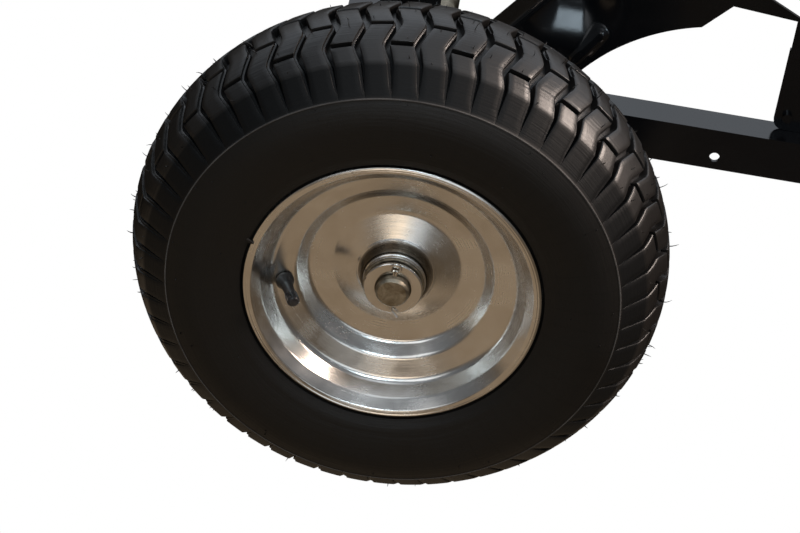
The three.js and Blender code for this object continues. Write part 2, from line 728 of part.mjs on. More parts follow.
// Bail under the front of the tub that the latch hooks over.
function addStriker() {
  const HALF = 32;
  const foot = TUB_BOTTOM - GAP;
  const leg = (y) => box([STRIKER.x - 6, STRIKER.x + 5], [y - 2, y + 2], [STRIKER.z - 6, foot]);
  const bar = crossRod(STRIKER.radius, STRIKER.x, STRIKER.z, -HALF, HALF, 16);
  add("latch_striker", join(bar, leg(-HALF), leg(HALF)), "zincSteel");
}

function addLatchBracket() {
  const HALF = 12;
  const base = RAIL_TOP - SHEET;
  const top = LATCH_PIVOT.z + 16;
  const section = outlineOf([
    [-HALF, top],
    [-HALF, base],
    [HALF, base],
    [HALF, top],
    [HALF - SHEET, top],
    [HALF - SHEET, base + SHEET],
    [-HALF + SHEET, base + SHEET],
    [-HALF + SHEET, top],
  ]);
  const { x, z, radius } = LATCH_PIVOT;
  const bore = crossRod(radius + GAP, x, z, -HALF - 5, HALF + 5);
  add("latch_bracket", cut(barAlongX(section, x - 20, x + 20), bore), "blackPaint");

  const shank = crossRod(radius, x, z, -HALF - 3, HALF + 3);
  const head = crossRod(9.2, x, z, -HALF - 6.5, -HALF - GAP, 6);
  const nut = crossRod(9.2, x, z, HALF + GAP, HALF + 7, 6);
  add("latch_bolt", join(shank, head, nut), "zincSteel");
}

// The lever is drawn hooked over the striker, then leaned forward about its pivot to let it go.
function addLatchLever() {
  const HALF_THICKNESS = 4;
  const NOTCH = STRIKER.radius + 1.5;
  const MOUTH = { length: 20, drop: 10 }; // the notch opens rearward and down, as the lever's arc runs
  const GRIP = { bottom: 452, top: 532, rear: 624, front: 646 };
  const { x, z, radius } = LATCH_PIVOT;
  const released = (geometry) => {
    geometry.translate(-x, 0, -z);
    geometry.rotateY(LATCH_RELEASE);
    geometry.translate(x, 0, z);
    return geometry;
  };

  const outline = new THREE.Shape();
  outline.moveTo(x - 14, z);
  outline.absarc(x, z, 14, Math.PI, 2 * Math.PI);
  outline.lineTo(626, 404);
  outline.lineTo(GRIP.front, 440);
  outline.lineTo(GRIP.front, GRIP.top - 4);
  outline.lineTo(GRIP.rear, GRIP.top - 4);
  outline.lineTo(GRIP.rear, 448);
  outline.lineTo(606, 424);
  outline.lineTo(577, 422);
  outline.lineTo(577, 384);
  const plate = plateAlongY(outline, -HALF_THICKNESS, HALF_THICKNESS);
  const bore = crossRod(radius + GAP, x, z, -10, 10);
  const notchEnd = crossRod(NOTCH, STRIKER.x + 1, STRIKER.z, -10, 10, 16);
  const notchMouth = plateAlongY(
    outlineOf([
      [STRIKER.x + 1, STRIKER.z - NOTCH],
      [STRIKER.x + 1, STRIKER.z + NOTCH],
      [STRIKER.x - MOUTH.length, STRIKER.z + NOTCH],
      [STRIKER.x - MOUTH.length, STRIKER.z - NOTCH - MOUTH.drop],
    ]),
    -10,
    10,
  );
  add("latch_lever", released(cut(plate, bore, notchEnd, notchMouth)), "zincSteel");

  const WALL = 4;
  const sleeve = box(
    [GRIP.rear - WALL, GRIP.front + WALL],
    [-HALF_THICKNESS - WALL, HALF_THICKNESS + WALL],
    [GRIP.bottom, GRIP.top],
  );
  const socket = box(
    [GRIP.rear - GAP, GRIP.front + GAP],
    [-HALF_THICKNESS - GAP, HALF_THICKNESS + GAP],
    [GRIP.bottom - 5, GRIP.top - 4 + GAP],
  );
  add("latch_grip", released(cut(sleeve, socket)), "softRubber");
}

// Torsion spring round the latch bolt, between the lever and a cheek of its bracket.
function addLatchSpring() {
  const COIL = 8;
  const TURNS = 2;
  const STEPS = 12; // points per turn
  const { x, z } = LATCH_PIVOT;
  const points = [];
  for (let i = 0; i <= TURNS * STEPS; i += 1) {
    const angle = (2 * Math.PI * i) / STEPS;
    const y = 5.3 + (2.6 * i) / (TURNS * STEPS);
    points.push([x + COIL * Math.sin(angle), y, z + COIL * Math.cos(angle)]);
  }
  points.push([x + 24, 7.9, z + 9]);
  add("latch_spring", wire(0.7, points, 30, 3), "darkSteel");
}

// ---------------------------------------------------------------- the whole cart
addAxle();
for (const side of SIDES) {
  addWheel(side);
  addRail(side);
  addAxleBracket(side);
  addGusset(side);
  addUpright(side);
  addPivotBracket(side);
  addHingeEar(side);
  addGateChannel(side);
}
addPivotRod();
for (const [name, rear] of Object.entries(CROSS_REARS)) addCrossmember(name, rear);
addDrawbar();
addTub();
addTubChannel("front", 125);
addTubChannel("rear", -330);
addTailgate();
addStriker();
addLatchBracket();
addLatchLever();
addLatchSpring();

const rearEnd = GATE.rear - GATE.pull;
const frontEnd = HITCH.x + HITCH.jawHalfWidth;
cart.position.x = -(rearEnd + frontEnd) / 2;

const part = new THREE.Group();
part.add(cart);

export default part;
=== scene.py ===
"""Looks of the tow-behind dump cart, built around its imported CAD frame.

Metres, in the frame's own axes: +X to the hitch, +Y to the cart's left, +Z up. Sections and
outlines are written in millimetres and scaled by MM where a mesh is made.
"""

import json
import math
import random

import bmesh
import bpy
import numpy as np
from mathutils import Matrix, Vector
from mathutils.geometry import delaunay_2d_cdt

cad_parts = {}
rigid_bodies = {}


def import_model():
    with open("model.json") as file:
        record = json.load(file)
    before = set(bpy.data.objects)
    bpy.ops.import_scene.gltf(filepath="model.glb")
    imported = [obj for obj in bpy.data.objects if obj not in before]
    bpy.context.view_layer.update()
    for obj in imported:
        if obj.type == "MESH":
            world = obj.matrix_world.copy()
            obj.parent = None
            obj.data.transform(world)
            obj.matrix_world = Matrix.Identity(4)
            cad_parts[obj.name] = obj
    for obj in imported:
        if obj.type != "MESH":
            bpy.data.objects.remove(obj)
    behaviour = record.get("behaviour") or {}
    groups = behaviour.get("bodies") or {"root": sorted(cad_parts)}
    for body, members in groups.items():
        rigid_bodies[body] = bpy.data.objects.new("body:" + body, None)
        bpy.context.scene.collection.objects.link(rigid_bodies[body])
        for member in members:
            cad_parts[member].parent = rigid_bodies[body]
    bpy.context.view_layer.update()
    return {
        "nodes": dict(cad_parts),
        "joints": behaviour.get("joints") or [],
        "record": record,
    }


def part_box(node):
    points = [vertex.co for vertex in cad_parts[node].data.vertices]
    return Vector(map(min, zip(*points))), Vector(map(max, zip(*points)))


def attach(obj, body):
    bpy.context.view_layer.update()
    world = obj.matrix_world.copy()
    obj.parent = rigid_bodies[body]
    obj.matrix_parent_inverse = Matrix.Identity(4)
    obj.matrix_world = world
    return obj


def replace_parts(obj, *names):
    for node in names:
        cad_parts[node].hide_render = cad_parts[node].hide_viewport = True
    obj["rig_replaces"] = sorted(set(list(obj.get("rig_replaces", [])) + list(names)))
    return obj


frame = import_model()

MM = 0.001
rng = random.Random(16)
joints = {joint["name"]: joint for joint in frame["joints"]}
SIDES = (("right", -1), ("left", 1))
AXLE = Vector((joints["wheel_right_spin"]["pos_m"][0], 0, joints["wheel_right_spin"]["pos_m"][2]))


# ---------------------------------------------------------------- mesh helpers
def new_object(name, data):
    obj = bpy.data.objects.new(name, data)
    bpy.context.scene.collection.objects.link(obj)
    return obj


def mesh_from(name, points, faces, material, sharp=35):
    """An object from points in millimetres, smooth except at edges sharper than sharp degrees."""
    mesh = bpy.data.meshes.new(name)
    mesh.from_pydata([tuple(c * MM for c in p) for p in points], [], [list(f) for f in faces])
    mesh.validate()
    bm = bmesh.new()
    bm.from_mesh(mesh)
    bmesh.ops.recalc_face_normals(bm, faces=bm.faces)
    bm.to_mesh(mesh)
    bm.free()
    mesh.shade_smooth()
    mesh.set_sharp_from_angle(angle=math.radians(sharp))
    mesh.materials.append(material)
    return new_object(name, mesh)


def grid_faces(rows, columns, wrap_rows=False, wrap_columns=True):
    """Quads of a grid whose point (i, j) has index i * columns + j."""
    faces = []
    for i in range(rows if wrap_rows else rows - 1):
        below = ((i + 1) % rows) * columns
        here = i * columns
        for j in range(columns if wrap_columns else columns - 1):
            k = (j + 1) % columns
            faces.append((here + j, here + k, below + k, below + j))
    return faces


def filleted(corners, steps=4):
    """A polyline through (u, v, radius) corners, each rounded to its radius."""
    line = []
    for i, (u, v, radius) in enumerate(corners):
        here = np.array((u, v), float)
        if radius == 0 or i in (0, len(corners) - 1):
            line.append((u, v))
            continue
        before = np.array(corners[i - 1][:2], float) - here
        after = np.array(corners[i + 1][:2], float) - here
        a, b = np.linalg.norm(before), np.linalg.norm(after)
        before, after = before / a, after / b
        half = math.acos(max(-1, min(1, float(before @ after)))) / 2
        cut = min(radius / math.tan(half), 0.48 * a, 0.48 * b)
        start, end = here + before * cut, here + after * cut
        for k in range(steps + 1):
            t = k / steps
            line.append(tuple((1 - t) ** 2 * start + 2 * t * (1 - t) * here + t**2 * end))
    return line


def gathered(shells):
    """The points and faces of many shells of (points, faces), as one list of each."""
    points, faces = [], []
    for more, more_faces in shells:
        first = len(points)
        points += more
        faces += [tuple(first + i for i in face) for face in more_faces]
    return points, faces


def around(ring):
    """Neighbouring pairs all the way round a closed ring."""
    return zip(ring, ring[1:] + ring[:1])


def turned(radius, along, angle):
    """A point at an angle round the Y axis, counted from -X up."""
    return (-radius * math.cos(angle), along, radius * math.sin(angle))


def lathe(name, section, material, sides=128, sharp=35, texture=None):
    """A closed section of (radius, along) turned about Y; +Y is outboard.

    texture(radius, along, k), where it is given, returns the pair to use at the k-th step round.
    """
    points = []
    for radius, along in section:
        for k in range(sides):
            r, a = texture(radius, along, k) if texture else (radius, along)
            points.append(turned(r, a, 2 * math.pi * k / sides))
    return mesh_from(name, points, grid_faces(len(section), sides, wrap_rows=True), material, sharp)


def sweep(name, path, radius, material, sides=8):
    """A round wire along a path of points in millimetres."""
    path = [Vector(p) for p in path]
    count = len(path)
    points = []
    side = (path[1] - path[0]).normalized().orthogonal().normalized()
    for i, place in enumerate(path):
        tangent = (path[min(i + 1, count - 1)] - path[max(i - 1, 0)]).normalized()
        side = (side - tangent * side.dot(tangent)).normalized()
        up = tangent.cross(side)
        for k in range(sides):
            angle = 2 * math.pi * k / sides
            points.append(place + radius * (math.cos(angle) * side + math.sin(angle) * up))
    faces = grid_faces(count, sides)
    faces += [tuple(range(sides)), tuple(range((count - 1) * sides, count * sides))]
    return mesh_from(name, points, faces, material, 40)


def smooth_path(points, steps):
    """A Catmull-Rom curve through the points."""
    points = [Vector(p) for p in points]
    padded = [2 * points[0] - points[1], *points, 2 * points[-1] - points[-2]]
    path = []
    for i in range(1, len(padded) - 2):
        a, b, c, d = padded[i - 1 : i + 3]
        for k in range(steps):
            t = k / steps
            bend = (2 * a - 5 * b + 4 * c - d) * t**2
            swing = (3 * b - 3 * c + d - a) * t**3
            path.append(0.5 * (2 * b + (c - a) * t + bend + swing))
    path.append(points[-1])
    return path


def join_objects(name, objects):
    """One object from several of one material."""
    bm = bmesh.new()
    for obj in objects:
        part = obj.data.copy()
        part.transform(obj.matrix_world)
        bm.from_mesh(part)
        bpy.data.meshes.remove(part)
    mesh = bpy.data.meshes.new(name)
    bm.to_mesh(mesh)
    bm.free()
    mesh.materials.append(objects[0].data.materials[0])
    for obj in objects:
        bpy.data.objects.remove(obj)
    return new_object(name, mesh)


def place_on(body, obj, slot, *nodes):
    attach(obj, body)
    if nodes:
        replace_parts(obj, *nodes)


# ---------------------------------------------------------------- materials
class Nodes:
    """A small builder of node trees. A value is a number, a tuple or another node's output."""

    def __init__(self, tree):
        self.nodes, self.links = tree.nodes, tree.links

    def add(self, kind, **settings):
        node = self.nodes.new(kind)
        for key, value in settings.items():
            setattr(node, key, value)
        return node

    def feed(self, value, socket):
        if hasattr(value, "is_linked"):
            self.links.new(value, socket)
        else:
            socket.default_value = value

    def spread(self, value, low, high, to_low, to_high, curve="LINEAR"):
        node = self.add("ShaderNodeMapRange", interpolation_type=curve)
        self.links.new(value, node.inputs["Value"])
        for key, number in zip(("From Min", "From Max", "To Min", "To Max"), (low, high, to_low, to_high)):
            node.inputs[key].default_value = number
        return node.outputs["Result"]

    def math(self, operation, *values):
        node = self.add("ShaderNodeMath", operation=operation)
        for socket, value in zip(node.inputs, values):
            self.feed(value, socket)
        return node.outputs[0]

    def times(self, a, b):
        return self.math("MULTIPLY", a, b)

    def split(self, vector):
        node = self.add("ShaderNodeSeparateXYZ")
        self.links.new(vector, node.inputs[0])
        return node.outputs

    def combine(self, x, y, z):
        node = self.add("ShaderNodeCombineXYZ")
        for socket, value in zip(node.inputs, (x, y, z)):
            self.feed(value, socket)
        return node.outputs[0]

    def glow(self, kind, color, strength):
        """A shader of one colour and strength that needs no light."""
        node = self.add(kind)
        self.feed(color, node.inputs["Color"])
        self.feed(strength, node.inputs["Strength"])
        return node.outputs[0]

    def choose(self, factor, plain, chosen):
        """One shader or the other, by a factor."""
        node = self.add("ShaderNodeMixShader")
        for socket, value in zip(node.inputs, (factor, plain, chosen)):
            self.links.new(value, socket)
        return node.outputs[0]


class Shader(Nodes):
    """A material with a Principled surface, textured in its object's own axes."""

    def __init__(self, name):
        self.material = bpy.data.materials.new(name)
        self.material.use_nodes = True
        super().__init__(self.material.node_tree)
        self.bsdf = self.nodes["Principled BSDF"]
        self.place = self.add("ShaderNodeTexCoord").outputs["Object"]

    def put(self, name, value):
        self.feed(value, self.bsdf.inputs[name])

    def scaled(self, factors):
        node = self.add("ShaderNodeVectorMath", operation="MULTIPLY")
        self.links.new(self.place, node.inputs[0])
        node.inputs[1].default_value = factors
        return node.outputs[0]

    def noise(self, scale, detail=4, roughness=0.55, source=None, distortion=0):
        node = self.add("ShaderNodeTexNoise")
        self.links.new(source or self.place, node.inputs["Vector"])
        settings = {"Scale": scale, "Detail": detail, "Roughness": roughness, "Distortion": distortion}
        for key, number in settings.items():
            node.inputs[key].default_value = number
        return node.outputs["Fac"]

    def mix(self, factor, low, high):
        node = self.add("ShaderNodeMix", data_type="RGBA")
        self.links.new(factor, node.inputs["Factor"])
        for key, value in (("A", low), ("B", high)):
            socket = [s for s in node.inputs if s.name == key and s.type == "RGBA"][0]
            self.feed((*value, 1) if isinstance(value, tuple) else value, socket)
        return [s for s in node.outputs if s.type == "RGBA"][0]

    def clouded(self, factor, dark, light, low=0.35, high=0.65):
        """Dark to light where a noise factor passes from low to high."""
        return self.mix(self.spread(factor, low, high, 0, 1), dark, light)

    def bump(self, height, distance, strength=1.0, normal=None):
        node = self.add("ShaderNodeBump")
        self.links.new(height, node.inputs["Height"])
        node.inputs["Distance"].default_value = distance
        node.inputs["Strength"].default_value = strength
        if normal is not None:
            self.links.new(normal, node.inputs["Normal"])
        return node.outputs["Normal"]

    def polar(self):
        """(angle, radius, along) about the object's own Y axis."""
        x, y, z = self.split(self.place)
        radius = self.math("SQRT", self.math("ADD", self.times(x, x), self.times(z, z)))
        return self.math("ARCTAN2", z, x), radius, y

    def turned_lines(self, polar, factors, detail, roughness):
        """Noise drawn out into lines that run round the Y axis."""
        place = [self.times(value, factor) for value, factor in zip(polar, factors)]
        return self.noise(1, detail, roughness, source=self.combine(*place))


def powder_coat(name):
    """Gloss black powder coat: fine orange peel, a few dust specks and faint smears."""
    s = Shader(name)
    smears = s.noise(9, 5, 0.6, distortion=0.6)
    peel = s.noise(420, 2, 0.5)
    specks = s.noise(1500, 1, 0.4)
    s.put("Base Color", s.clouded(smears, (0.0032, 0.0036, 0.0046), (0.0062, 0.0064, 0.0072), 0.35, 0.7))
    s.put("Roughness", s.spread(smears, 0.3, 0.75, 0.12, 0.24))
    s.put("Specular IOR Level", 0.3)
    fine = s.bump(specks, 0.00004, 0.25)
    s.put("Normal", s.bump(peel, 0.00025, 0.16, fine))
    return s.material


def zinc_steel(name, spun=False):
    """Zinc plate: cloudy, with fine drawing lines that run round a spun piece."""
    s = Shader(name)
    cloud = s.noise(38, 5, 0.6, distortion=0.4)
    stain = s.noise(14, 4, 0.55, distortion=1.2)
    tone = s.math("ADD", s.times(cloud, 0.5), s.times(stain, 0.5))
    shade = s.clouded(tone, (0.54, 0.51, 0.47), (0.66, 0.64, 0.61), 0.36, 0.62)
    if spun:
        polar = s.polar()
        radius = polar[1]
        streaks = s.turned_lines(polar, (1.6, 900, 700), 3, 0.6)
        # Painted shade darkens the ring between the hub tube and the rim's collar.
        within = s.spread(radius, COLLAR_RADIUS - 0.0005, COLLAR_RADIUS + 0.0005, 1, 0)
        beyond = s.spread(radius, HUB_RADIUS - 0.0004, HUB_RADIUS + 0.0004, 0, 1)
        shade = s.mix(s.times(within, beyond), shade, (0.13, 0.115, 0.095))
        s.put("Anisotropic", 0.35)
    else:
        streaks = s.noise(60, 3, 0.6, source=s.scaled((1, 9, 9)))
    s.put("Base Color", shade)
    s.put("Metallic", 1.0)
    base = s.spread(cloud, 0.3, 0.7, 0.17, 0.29)
    s.put("Roughness", s.math("ADD", base, s.spread(streaks, 0.35, 0.65, -0.02, 0.03)))
    ripple = s.bump(streaks, 0.00003, 0.12)
    s.put("Normal", s.bump(cloud, 0.0004, 0.05, ripple))
    return s.material


def dark_steel(name):
    """Plain turned steel with an oily brown film."""
    s = Shader(name)
    film = s.noise(120, 5, 0.65, distortion=0.8)
    grit = s.noise(900, 2, 0.5)
    s.put("Base Color", s.clouded(film, (0.17, 0.145, 0.105), (0.36, 0.32, 0.25)))
    s.put("Metallic", 1.0)
    s.put("Roughness", s.spread(film, 0.3, 0.7, 0.34, 0.52))
    s.put("Normal", s.bump(grit, 0.0002, 0.3))
    return s.material


def tread_rubber(name):
    """Moulded tyre rubber: fine mould grain, faint lathe rings, raised faces lighter from bloom and painted
    sheen, and a painted highlight on the mould line.
    """
    s = Shader(name)
    polar = s.polar()
    radius = polar[1]
    bloom = s.noise(22, 5, 0.6, distortion=0.5)
    grain = s.noise(700, 3, 0.6)
    rings = s.turned_lines(polar, (3.0, 420, 620), 2, 0.5)
    face = s.spread(radius, TREAD_EDGE_RADIUS - 0.0015, TREAD_EDGE_RADIUS + 0.0015, 0, 1)
    # Raised tread faces are painted lighter, partly as rubbed wear and partly as painted sheen.
    wear_and_sheen = s.times(face, s.spread(bloom, 0.3, 0.7, 0.6, 1.0))
    # The sharp mould line carries a painted highlight, a pale ring; the wall beyond it stays darker and
    # bluer.
    off_line = s.math("ABSOLUTE", s.math("SUBTRACT", radius, MOULD_LINE_RADIUS))
    mould_line_highlight = s.times(s.spread(off_line, 0.0002, 0.0006, 1, 0), s.spread(bloom, 0.35, 0.65, 0.4, 1.0))
    outside = s.spread(radius, MOULD_LINE_RADIUS, MOULD_LINE_RADIUS + 0.002, 0, 1)
    beyond = s.times(outside, s.spread(face, 0, 1, 1, 0))
    plain = s.mix(beyond, (0.0036, 0.0031, 0.0026), (0.0030, 0.0033, 0.0036))
    wear_and_sheen_tone = s.mix(wear_and_sheen, plain, (0.0056, 0.0050, 0.0048))
    s.put("Base Color", s.mix(mould_line_highlight, wear_and_sheen_tone, (0.085, 0.082, 0.080)))
    s.put("Roughness", s.math("SUBTRACT", s.spread(bloom, 0.3, 0.7, 0.5, 0.6), s.times(face, 0.14)))
    gloss = s.spread(face, 0, 1, 0.24, 0.5)
    s.put("Specular IOR Level", s.math("SUBTRACT", gloss, s.times(beyond, 0.1)))
    fine = s.bump(grain, 0.00018, 0.35)
    s.put("Normal", s.bump(rings, 0.0005, 0.5, fine))
    return s.material


def moulded(name, patch, dark, light, roughness, grain):
    """Plain moulded rubber or plastic: cloudy colour and gloss over a fine grain.

    patch is (scale, detail) of the clouds; grain is (scale, depth, strength).
    """
    s = Shader(name)
    cloud = s.noise(*patch, 0.6)
    scale, depth, strength = grain
    s.put("Base Color", s.clouded(cloud, dark, light))
    s.put("Roughness", s.spread(cloud, 0.3, 0.7, *roughness))
    s.put("Normal", s.bump(s.noise(scale, 2, 0.5), depth, strength))
    return s.material


# Radii, in metres, at which the wheel's materials change.
MOULD_LINE_RADIUS = 0.1704  # the tyre's mould line
TREAD_EDGE_RADIUS = 0.19
COLLAR_RADIUS = 0.0277
HUB_RADIUS = 0.024

PAINT = powder_coat("black_powder_coat")
ZINC = zinc_steel("zinc_plate")
RIM_ZINC = zinc_steel("rim_zinc_plate", spun=True)
STEEL = dark_steel("oiled_steel")
RUBBER = tread_rubber("moulded_tyre_rubber")
SOFT = moulded(
    "soft_black_rubber",
    patch=(160, 4),
    dark=(0.006, 0.006, 0.0065),
    light=(0.013, 0.013, 0.0135),
    roughness=(0.34, 0.5),
    grain=(1400, 0.0001, 0.3),
)
NYLON = moulded(
    "black_nylon",
    patch=(240, 3),
    dark=(0.008, 0.008, 0.009),
    light=(0.016, 0.016, 0.018),
    roughness=(0.22, 0.34),
    grain=(1800, 0.00008, 0.25),
)
SLOT_MATERIALS = {
    "black_paint": PAINT,
    "zinc_steel": ZINC,
    "dark_steel": STEEL,
    "tyre_rubber": RUBBER,
    "soft_rubber": SOFT,
    "nylon": NYLON,
}


# ---------------------------------------------------------------- tyre
TYRE_LOW, TYRE_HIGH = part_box("tyre_right")
TYRE_RADIUS = (TYRE_HIGH.z - TYRE_LOW.z) / 2 / MM
TYRE_HALF = (TYRE_HIGH.y - TYRE_LOW.y) / 2 / MM
WIDEST = 150.0  # radius of the sidewall's widest ring
ROUNDNESS = 1.88  # exponent of the section's curve above the widest ring
LOW_ROUNDNESS = 2.35  # and below it
LOW_HEIGHT = 66.0
BEAD_RADIUS = 114.2
ARC_START = 154.3  # radius from which arc lengths over the section are counted
MOULD_LINE = 17.0  # arc length of the mould line
SHOULDER = 44.7  # arc length of the tread's edge
STRAIGHTENED = 0.85  # how nearly the wall runs straight from one to the other
PITCHES = 56
PITCH = 2 * math.pi / PITCHES
PHASE = math.radians(85.6)
SLOTS = ((-31.0, 1), (-11.5, 0), (11.5, 1), (31.0, 0))  # offset across the tread, odd or even lugs
SLOT_HALF = 1.9
SLOT_DEPTH = 5.6
COLUMNS = 15  # points of one groove and lug round the tyre
# Closed side of the section: (radius, along) from the bead's toe, round the air chamber, to the middle.
CHAMBER = [
    (113.6, 59.4), (113.0, 56.8), (108.0, 56.7), (104.0, 56.4), (99.6, 50.0), (99.4, 44.2),
    (111.5, 44.2), (124.0, 55.5), (140.0, 60.5), (156.0, 60.5), (175.0, 52.0), (188.0, 33.0),
    (192.0, 16.0), (192.6, 0.0),
]


def superellipse(angles, half_width, half_height, power):
    """(along, radius) of a squared-off oval about the widest ring."""
    along = half_width * np.cos(angles) ** (2 / power)
    radius = WIDEST + half_height * np.sign(np.sin(angles)) * np.abs(np.sin(angles)) ** (2 / power)
    return along, radius


def tyre_half_section():
    """Dense (along, radius, arc length) from the bead to the crown, outboard half."""
    low = superellipse(np.linspace(-0.5 * math.pi, 0, 3000), TYRE_HALF, LOW_HEIGHT, LOW_ROUNDNESS)
    high = superellipse(np.linspace(0, 0.5 * math.pi, 3000)[1:], TYRE_HALF, TYRE_RADIUS - WIDEST, ROUNDNESS)
    along = np.concatenate([low[0], high[0]])
    radius = np.concatenate([low[1], high[1]])
    keep = radius >= BEAD_RADIUS
    along, radius = along[keep], radius[keep]
    arc = np.concatenate([[0], np.cumsum(np.hypot(np.diff(along), np.diff(radius)))])
    arc -= np.interp(ARC_START, radius, arc)
    # The nearly straight wall leaves a crease at the mould line and at the shoulder.
    wall = (arc > MOULD_LINE) & (arc < SHOULDER)
    share = (arc[wall] - MOULD_LINE) / (SHOULDER - MOULD_LINE)
    for values in (along, radius):
        start, end = np.interp((MOULD_LINE, SHOULDER), arc, values)
        values[wall] += STRAIGHTENED * (start + (end - start) * share - values[wall])
    return along, radius, arc


HALF_ALONG, HALF_RADIUS, HALF_ARC = tyre_half_section()
CROWN = HALF_ARC[-1]


def section_at(arc):
    """(along, radius) of the section's surface at an arc length."""
    return float(np.interp(arc, HALF_ARC, HALF_ALONG)), float(np.interp(arc, HALF_ARC, HALF_RADIUS))


def arc_at_offset(offset):
    """Arc length at an offset across the tread from the middle."""
    upper = HALF_RADIUS > WIDEST
    order = np.argsort(HALF_ALONG[upper])
    return float(np.interp(abs(offset), HALF_ALONG[upper][order], HALF_ARC[upper][order]))


def tyre_rows():
    """Arc positions of the grid's rows over the outboard half, with each row's slot share (0 to 1)."""
    rows = {}
    for value in np.linspace(HALF_ARC[0], MOULD_LINE - 2.4, 20):
        rows[float(value)] = 0.0
    for value in (-1.2, -0.7, 0, 0.7, 1.2):
        rows[MOULD_LINE + value] = 0.0
    for value in np.linspace(MOULD_LINE + 3, SHOULDER - 1.5, 10):
        rows[float(value)] = 0.0
    for value in (-0.7, 0.0, 0.7):
        rows[SHOULDER + value] = 0.0
    slot_arcs = [arc_at_offset(offset) for offset, _ in SLOTS[:2]]
    for value in np.linspace(SHOULDER + 2.5, CROWN, 18):
        if all(abs(value - arc) > SLOT_HALF + 1.2 for arc in slot_arcs):
            rows[float(value)] = 0.0
    for arc in slot_arcs:
        for reach, share in ((0.45, 0.0), (0.2, 0.03), (0.0, 0.12), (-0.12, 1.0)):
            rows[arc - SLOT_HALF - reach] = share
            rows[arc + SLOT_HALF + reach] = share
    rows[CROWN] = 0.0
    return sorted(rows.items())


def groove_size(arc):
    """(depth, half width, ledge width, ledge depth) of the groove at an arc position."""
    knots = (MOULD_LINE, 23, 30, SHOULDER, 53.3, 61.5, 73.2, 82, 87.5, CROWN)
    depth = np.interp(arc, knots, (0.0, 0.6, 2.4, 6.4, 7.0, 7.2, 7.2, 7.2, 7.2, 7.2))
    half = np.interp(arc, knots, (0.3, 0.4, 0.6, 1.3, 2.0, 2.1, 2.2, 2.5, 3.0, 3.2))
    ledge = np.interp(arc, knots, (1.0, 1.6, 2.2, 2.4, 1.9, 1.6, 1.5, 1.2, 0.7, 0.5))
    sunk = np.interp(arc, knots, (0.0, 0.3, 0.6, 1.2, 1.7, 2.0, 2.2, 2.4, 2.6, 2.6))
    if arc <= MOULD_LINE:
        depth = sunk = 0.0
    return float(depth), float(half), float(ledge), float(sunk)


def groove_shift(offset):
    """How far the groove wanders round the tyre at an offset across it, in degrees."""
    knots = (-69.5, -63, -45, -31.5, -11.5, 11.5, 31.5, 45, 63, 69.5)
    turns = (-1.0, -0.9, -0.35, 1.1, -1.1, 1.1, -1.1, 0.35, 0.9, 1.0)
    return float(np.interp(offset, knots, turns))


def tyre_columns(depth, half, ledge, sunk, near):
    """(distance round the tyre, depth) of the points across one groove and one lug face."""
    slight = 0.5 * min(1.0, sunk)
    near_ledge, far_ledge = (0.5, ledge) if near else (ledge, 0.5)
    near_sunk, far_sunk = (slight, sunk) if near else (sunk, slight)
    round_drop = min(0.22, depth * 0.25)
    left, right = -half, half
    columns = [
        (left - near_ledge - 0.45, 0.0),
        (left - near_ledge, round_drop),
        (left - near_ledge + 0.3, near_sunk * 0.8 + round_drop * 0.2),
        (left - 0.35, near_sunk),
        (left, min(depth, near_sunk + 0.35)),
        (left + 0.25, depth),
        (right - 0.25, depth),
        (right, min(depth, far_sunk + 0.35)),
        (right + 0.35, far_sunk),
        (right + far_ledge - 0.3, far_sunk * 0.8 + round_drop * 0.2),
        (right + far_ledge, round_drop),
        (right + far_ledge + 0.45, 0.0),
    ]
    start, end = columns[-1][0], PITCH * TYRE_RADIUS + columns[0][0]
    columns += [(start + (end - start) * share, 0.0) for share in (0.25, 0.5, 0.75)]
    return columns


def ring_height(arc):
    """Raised rings moulded on the sidewall."""
    rings = ((MOULD_LINE, 0.7, 0.55), (-33, 0.7, 2.0), (-6, 0.16, 0.8))  # arc, height, half width
    return sum(tall * math.exp(-(((arc - place) / wide) ** 2)) for place, tall, wide in rings)


def on_lug_face(index, near):
    """Whether a column of tyre_columns lies on the face of the lug that a slot cuts."""
    if near:
        return index >= 11 or index <= 4
    return index >= 7 or index == 0


def tyre_ring(arc, share, near):
    """One ring of points round the tyre, over the grooves, lugs and slots at an arc length."""
    step = 0.4
    along, radius = section_at(arc)
    (a1, r1), (a2, r2) = section_at(arc - step), section_at(arc + step)
    length = math.hypot(a2 - a1, r2 - r1)
    out_along, out_radius = (r2 - r1) / length, -(a2 - a1) / length
    offset = -along if near else along
    columns = tyre_columns(*groove_size(arc), near)
    raised = ring_height(arc)
    parity = min(SLOTS, key=lambda slot: abs(slot[0] - offset))[1]
    shift = math.radians(groove_shift(offset))
    ring = []
    for pitch in range(PITCHES):
        for index, (run, drop) in enumerate(columns):
            lug = pitch - 1 if index <= 5 else pitch
            if share and on_lug_face(index, near) and lug % 2 == parity:
                drop = max(drop, share * SLOT_DEPTH)
            angle = PHASE + pitch * PITCH + run / TYRE_RADIUS + shift
            r = radius - (drop - raised) * out_radius
            a = along - (drop - raised) * out_along
            ring.append(turned(r, a if near else -a, angle))
    return ring


def build_tyre():
    half_rows = tyre_rows()
    rings = [tyre_ring(arc, share, True) for arc, share in half_rows]
    rings += [tyre_ring(arc, share, False) for arc, share in reversed(half_rows[:-1])]
    count = COLUMNS * PITCHES
    angles = [PHASE + (j / count) * 2 * math.pi for j in range(count)]
    inside = CHAMBER + [(r, -a) for r, a in reversed(CHAMBER[:-1])]
    for radius, along in reversed(inside):
        rings.append([turned(radius, along, angle) for angle in angles])
    points = [point for ring in rings for point in ring]
    return mesh_from("turf_tyre_right", points, grid_faces(len(rings), count, wrap_rows=True), RUBBER, 32)


# ---------------------------------------------------------------- wheels
def wheel_matrix(side):
    """Where a wheel stands; each is drawn with +Y outboard, so the right one is turned round."""
    centre = Vector(joints[f"wheel_{side}_spin"]["pos_m"])
    turn = Matrix.Rotation(math.pi, 4, "Z") if side == "right" else Matrix.Identity(4)
    return Matrix.Translation(centre) @ turn


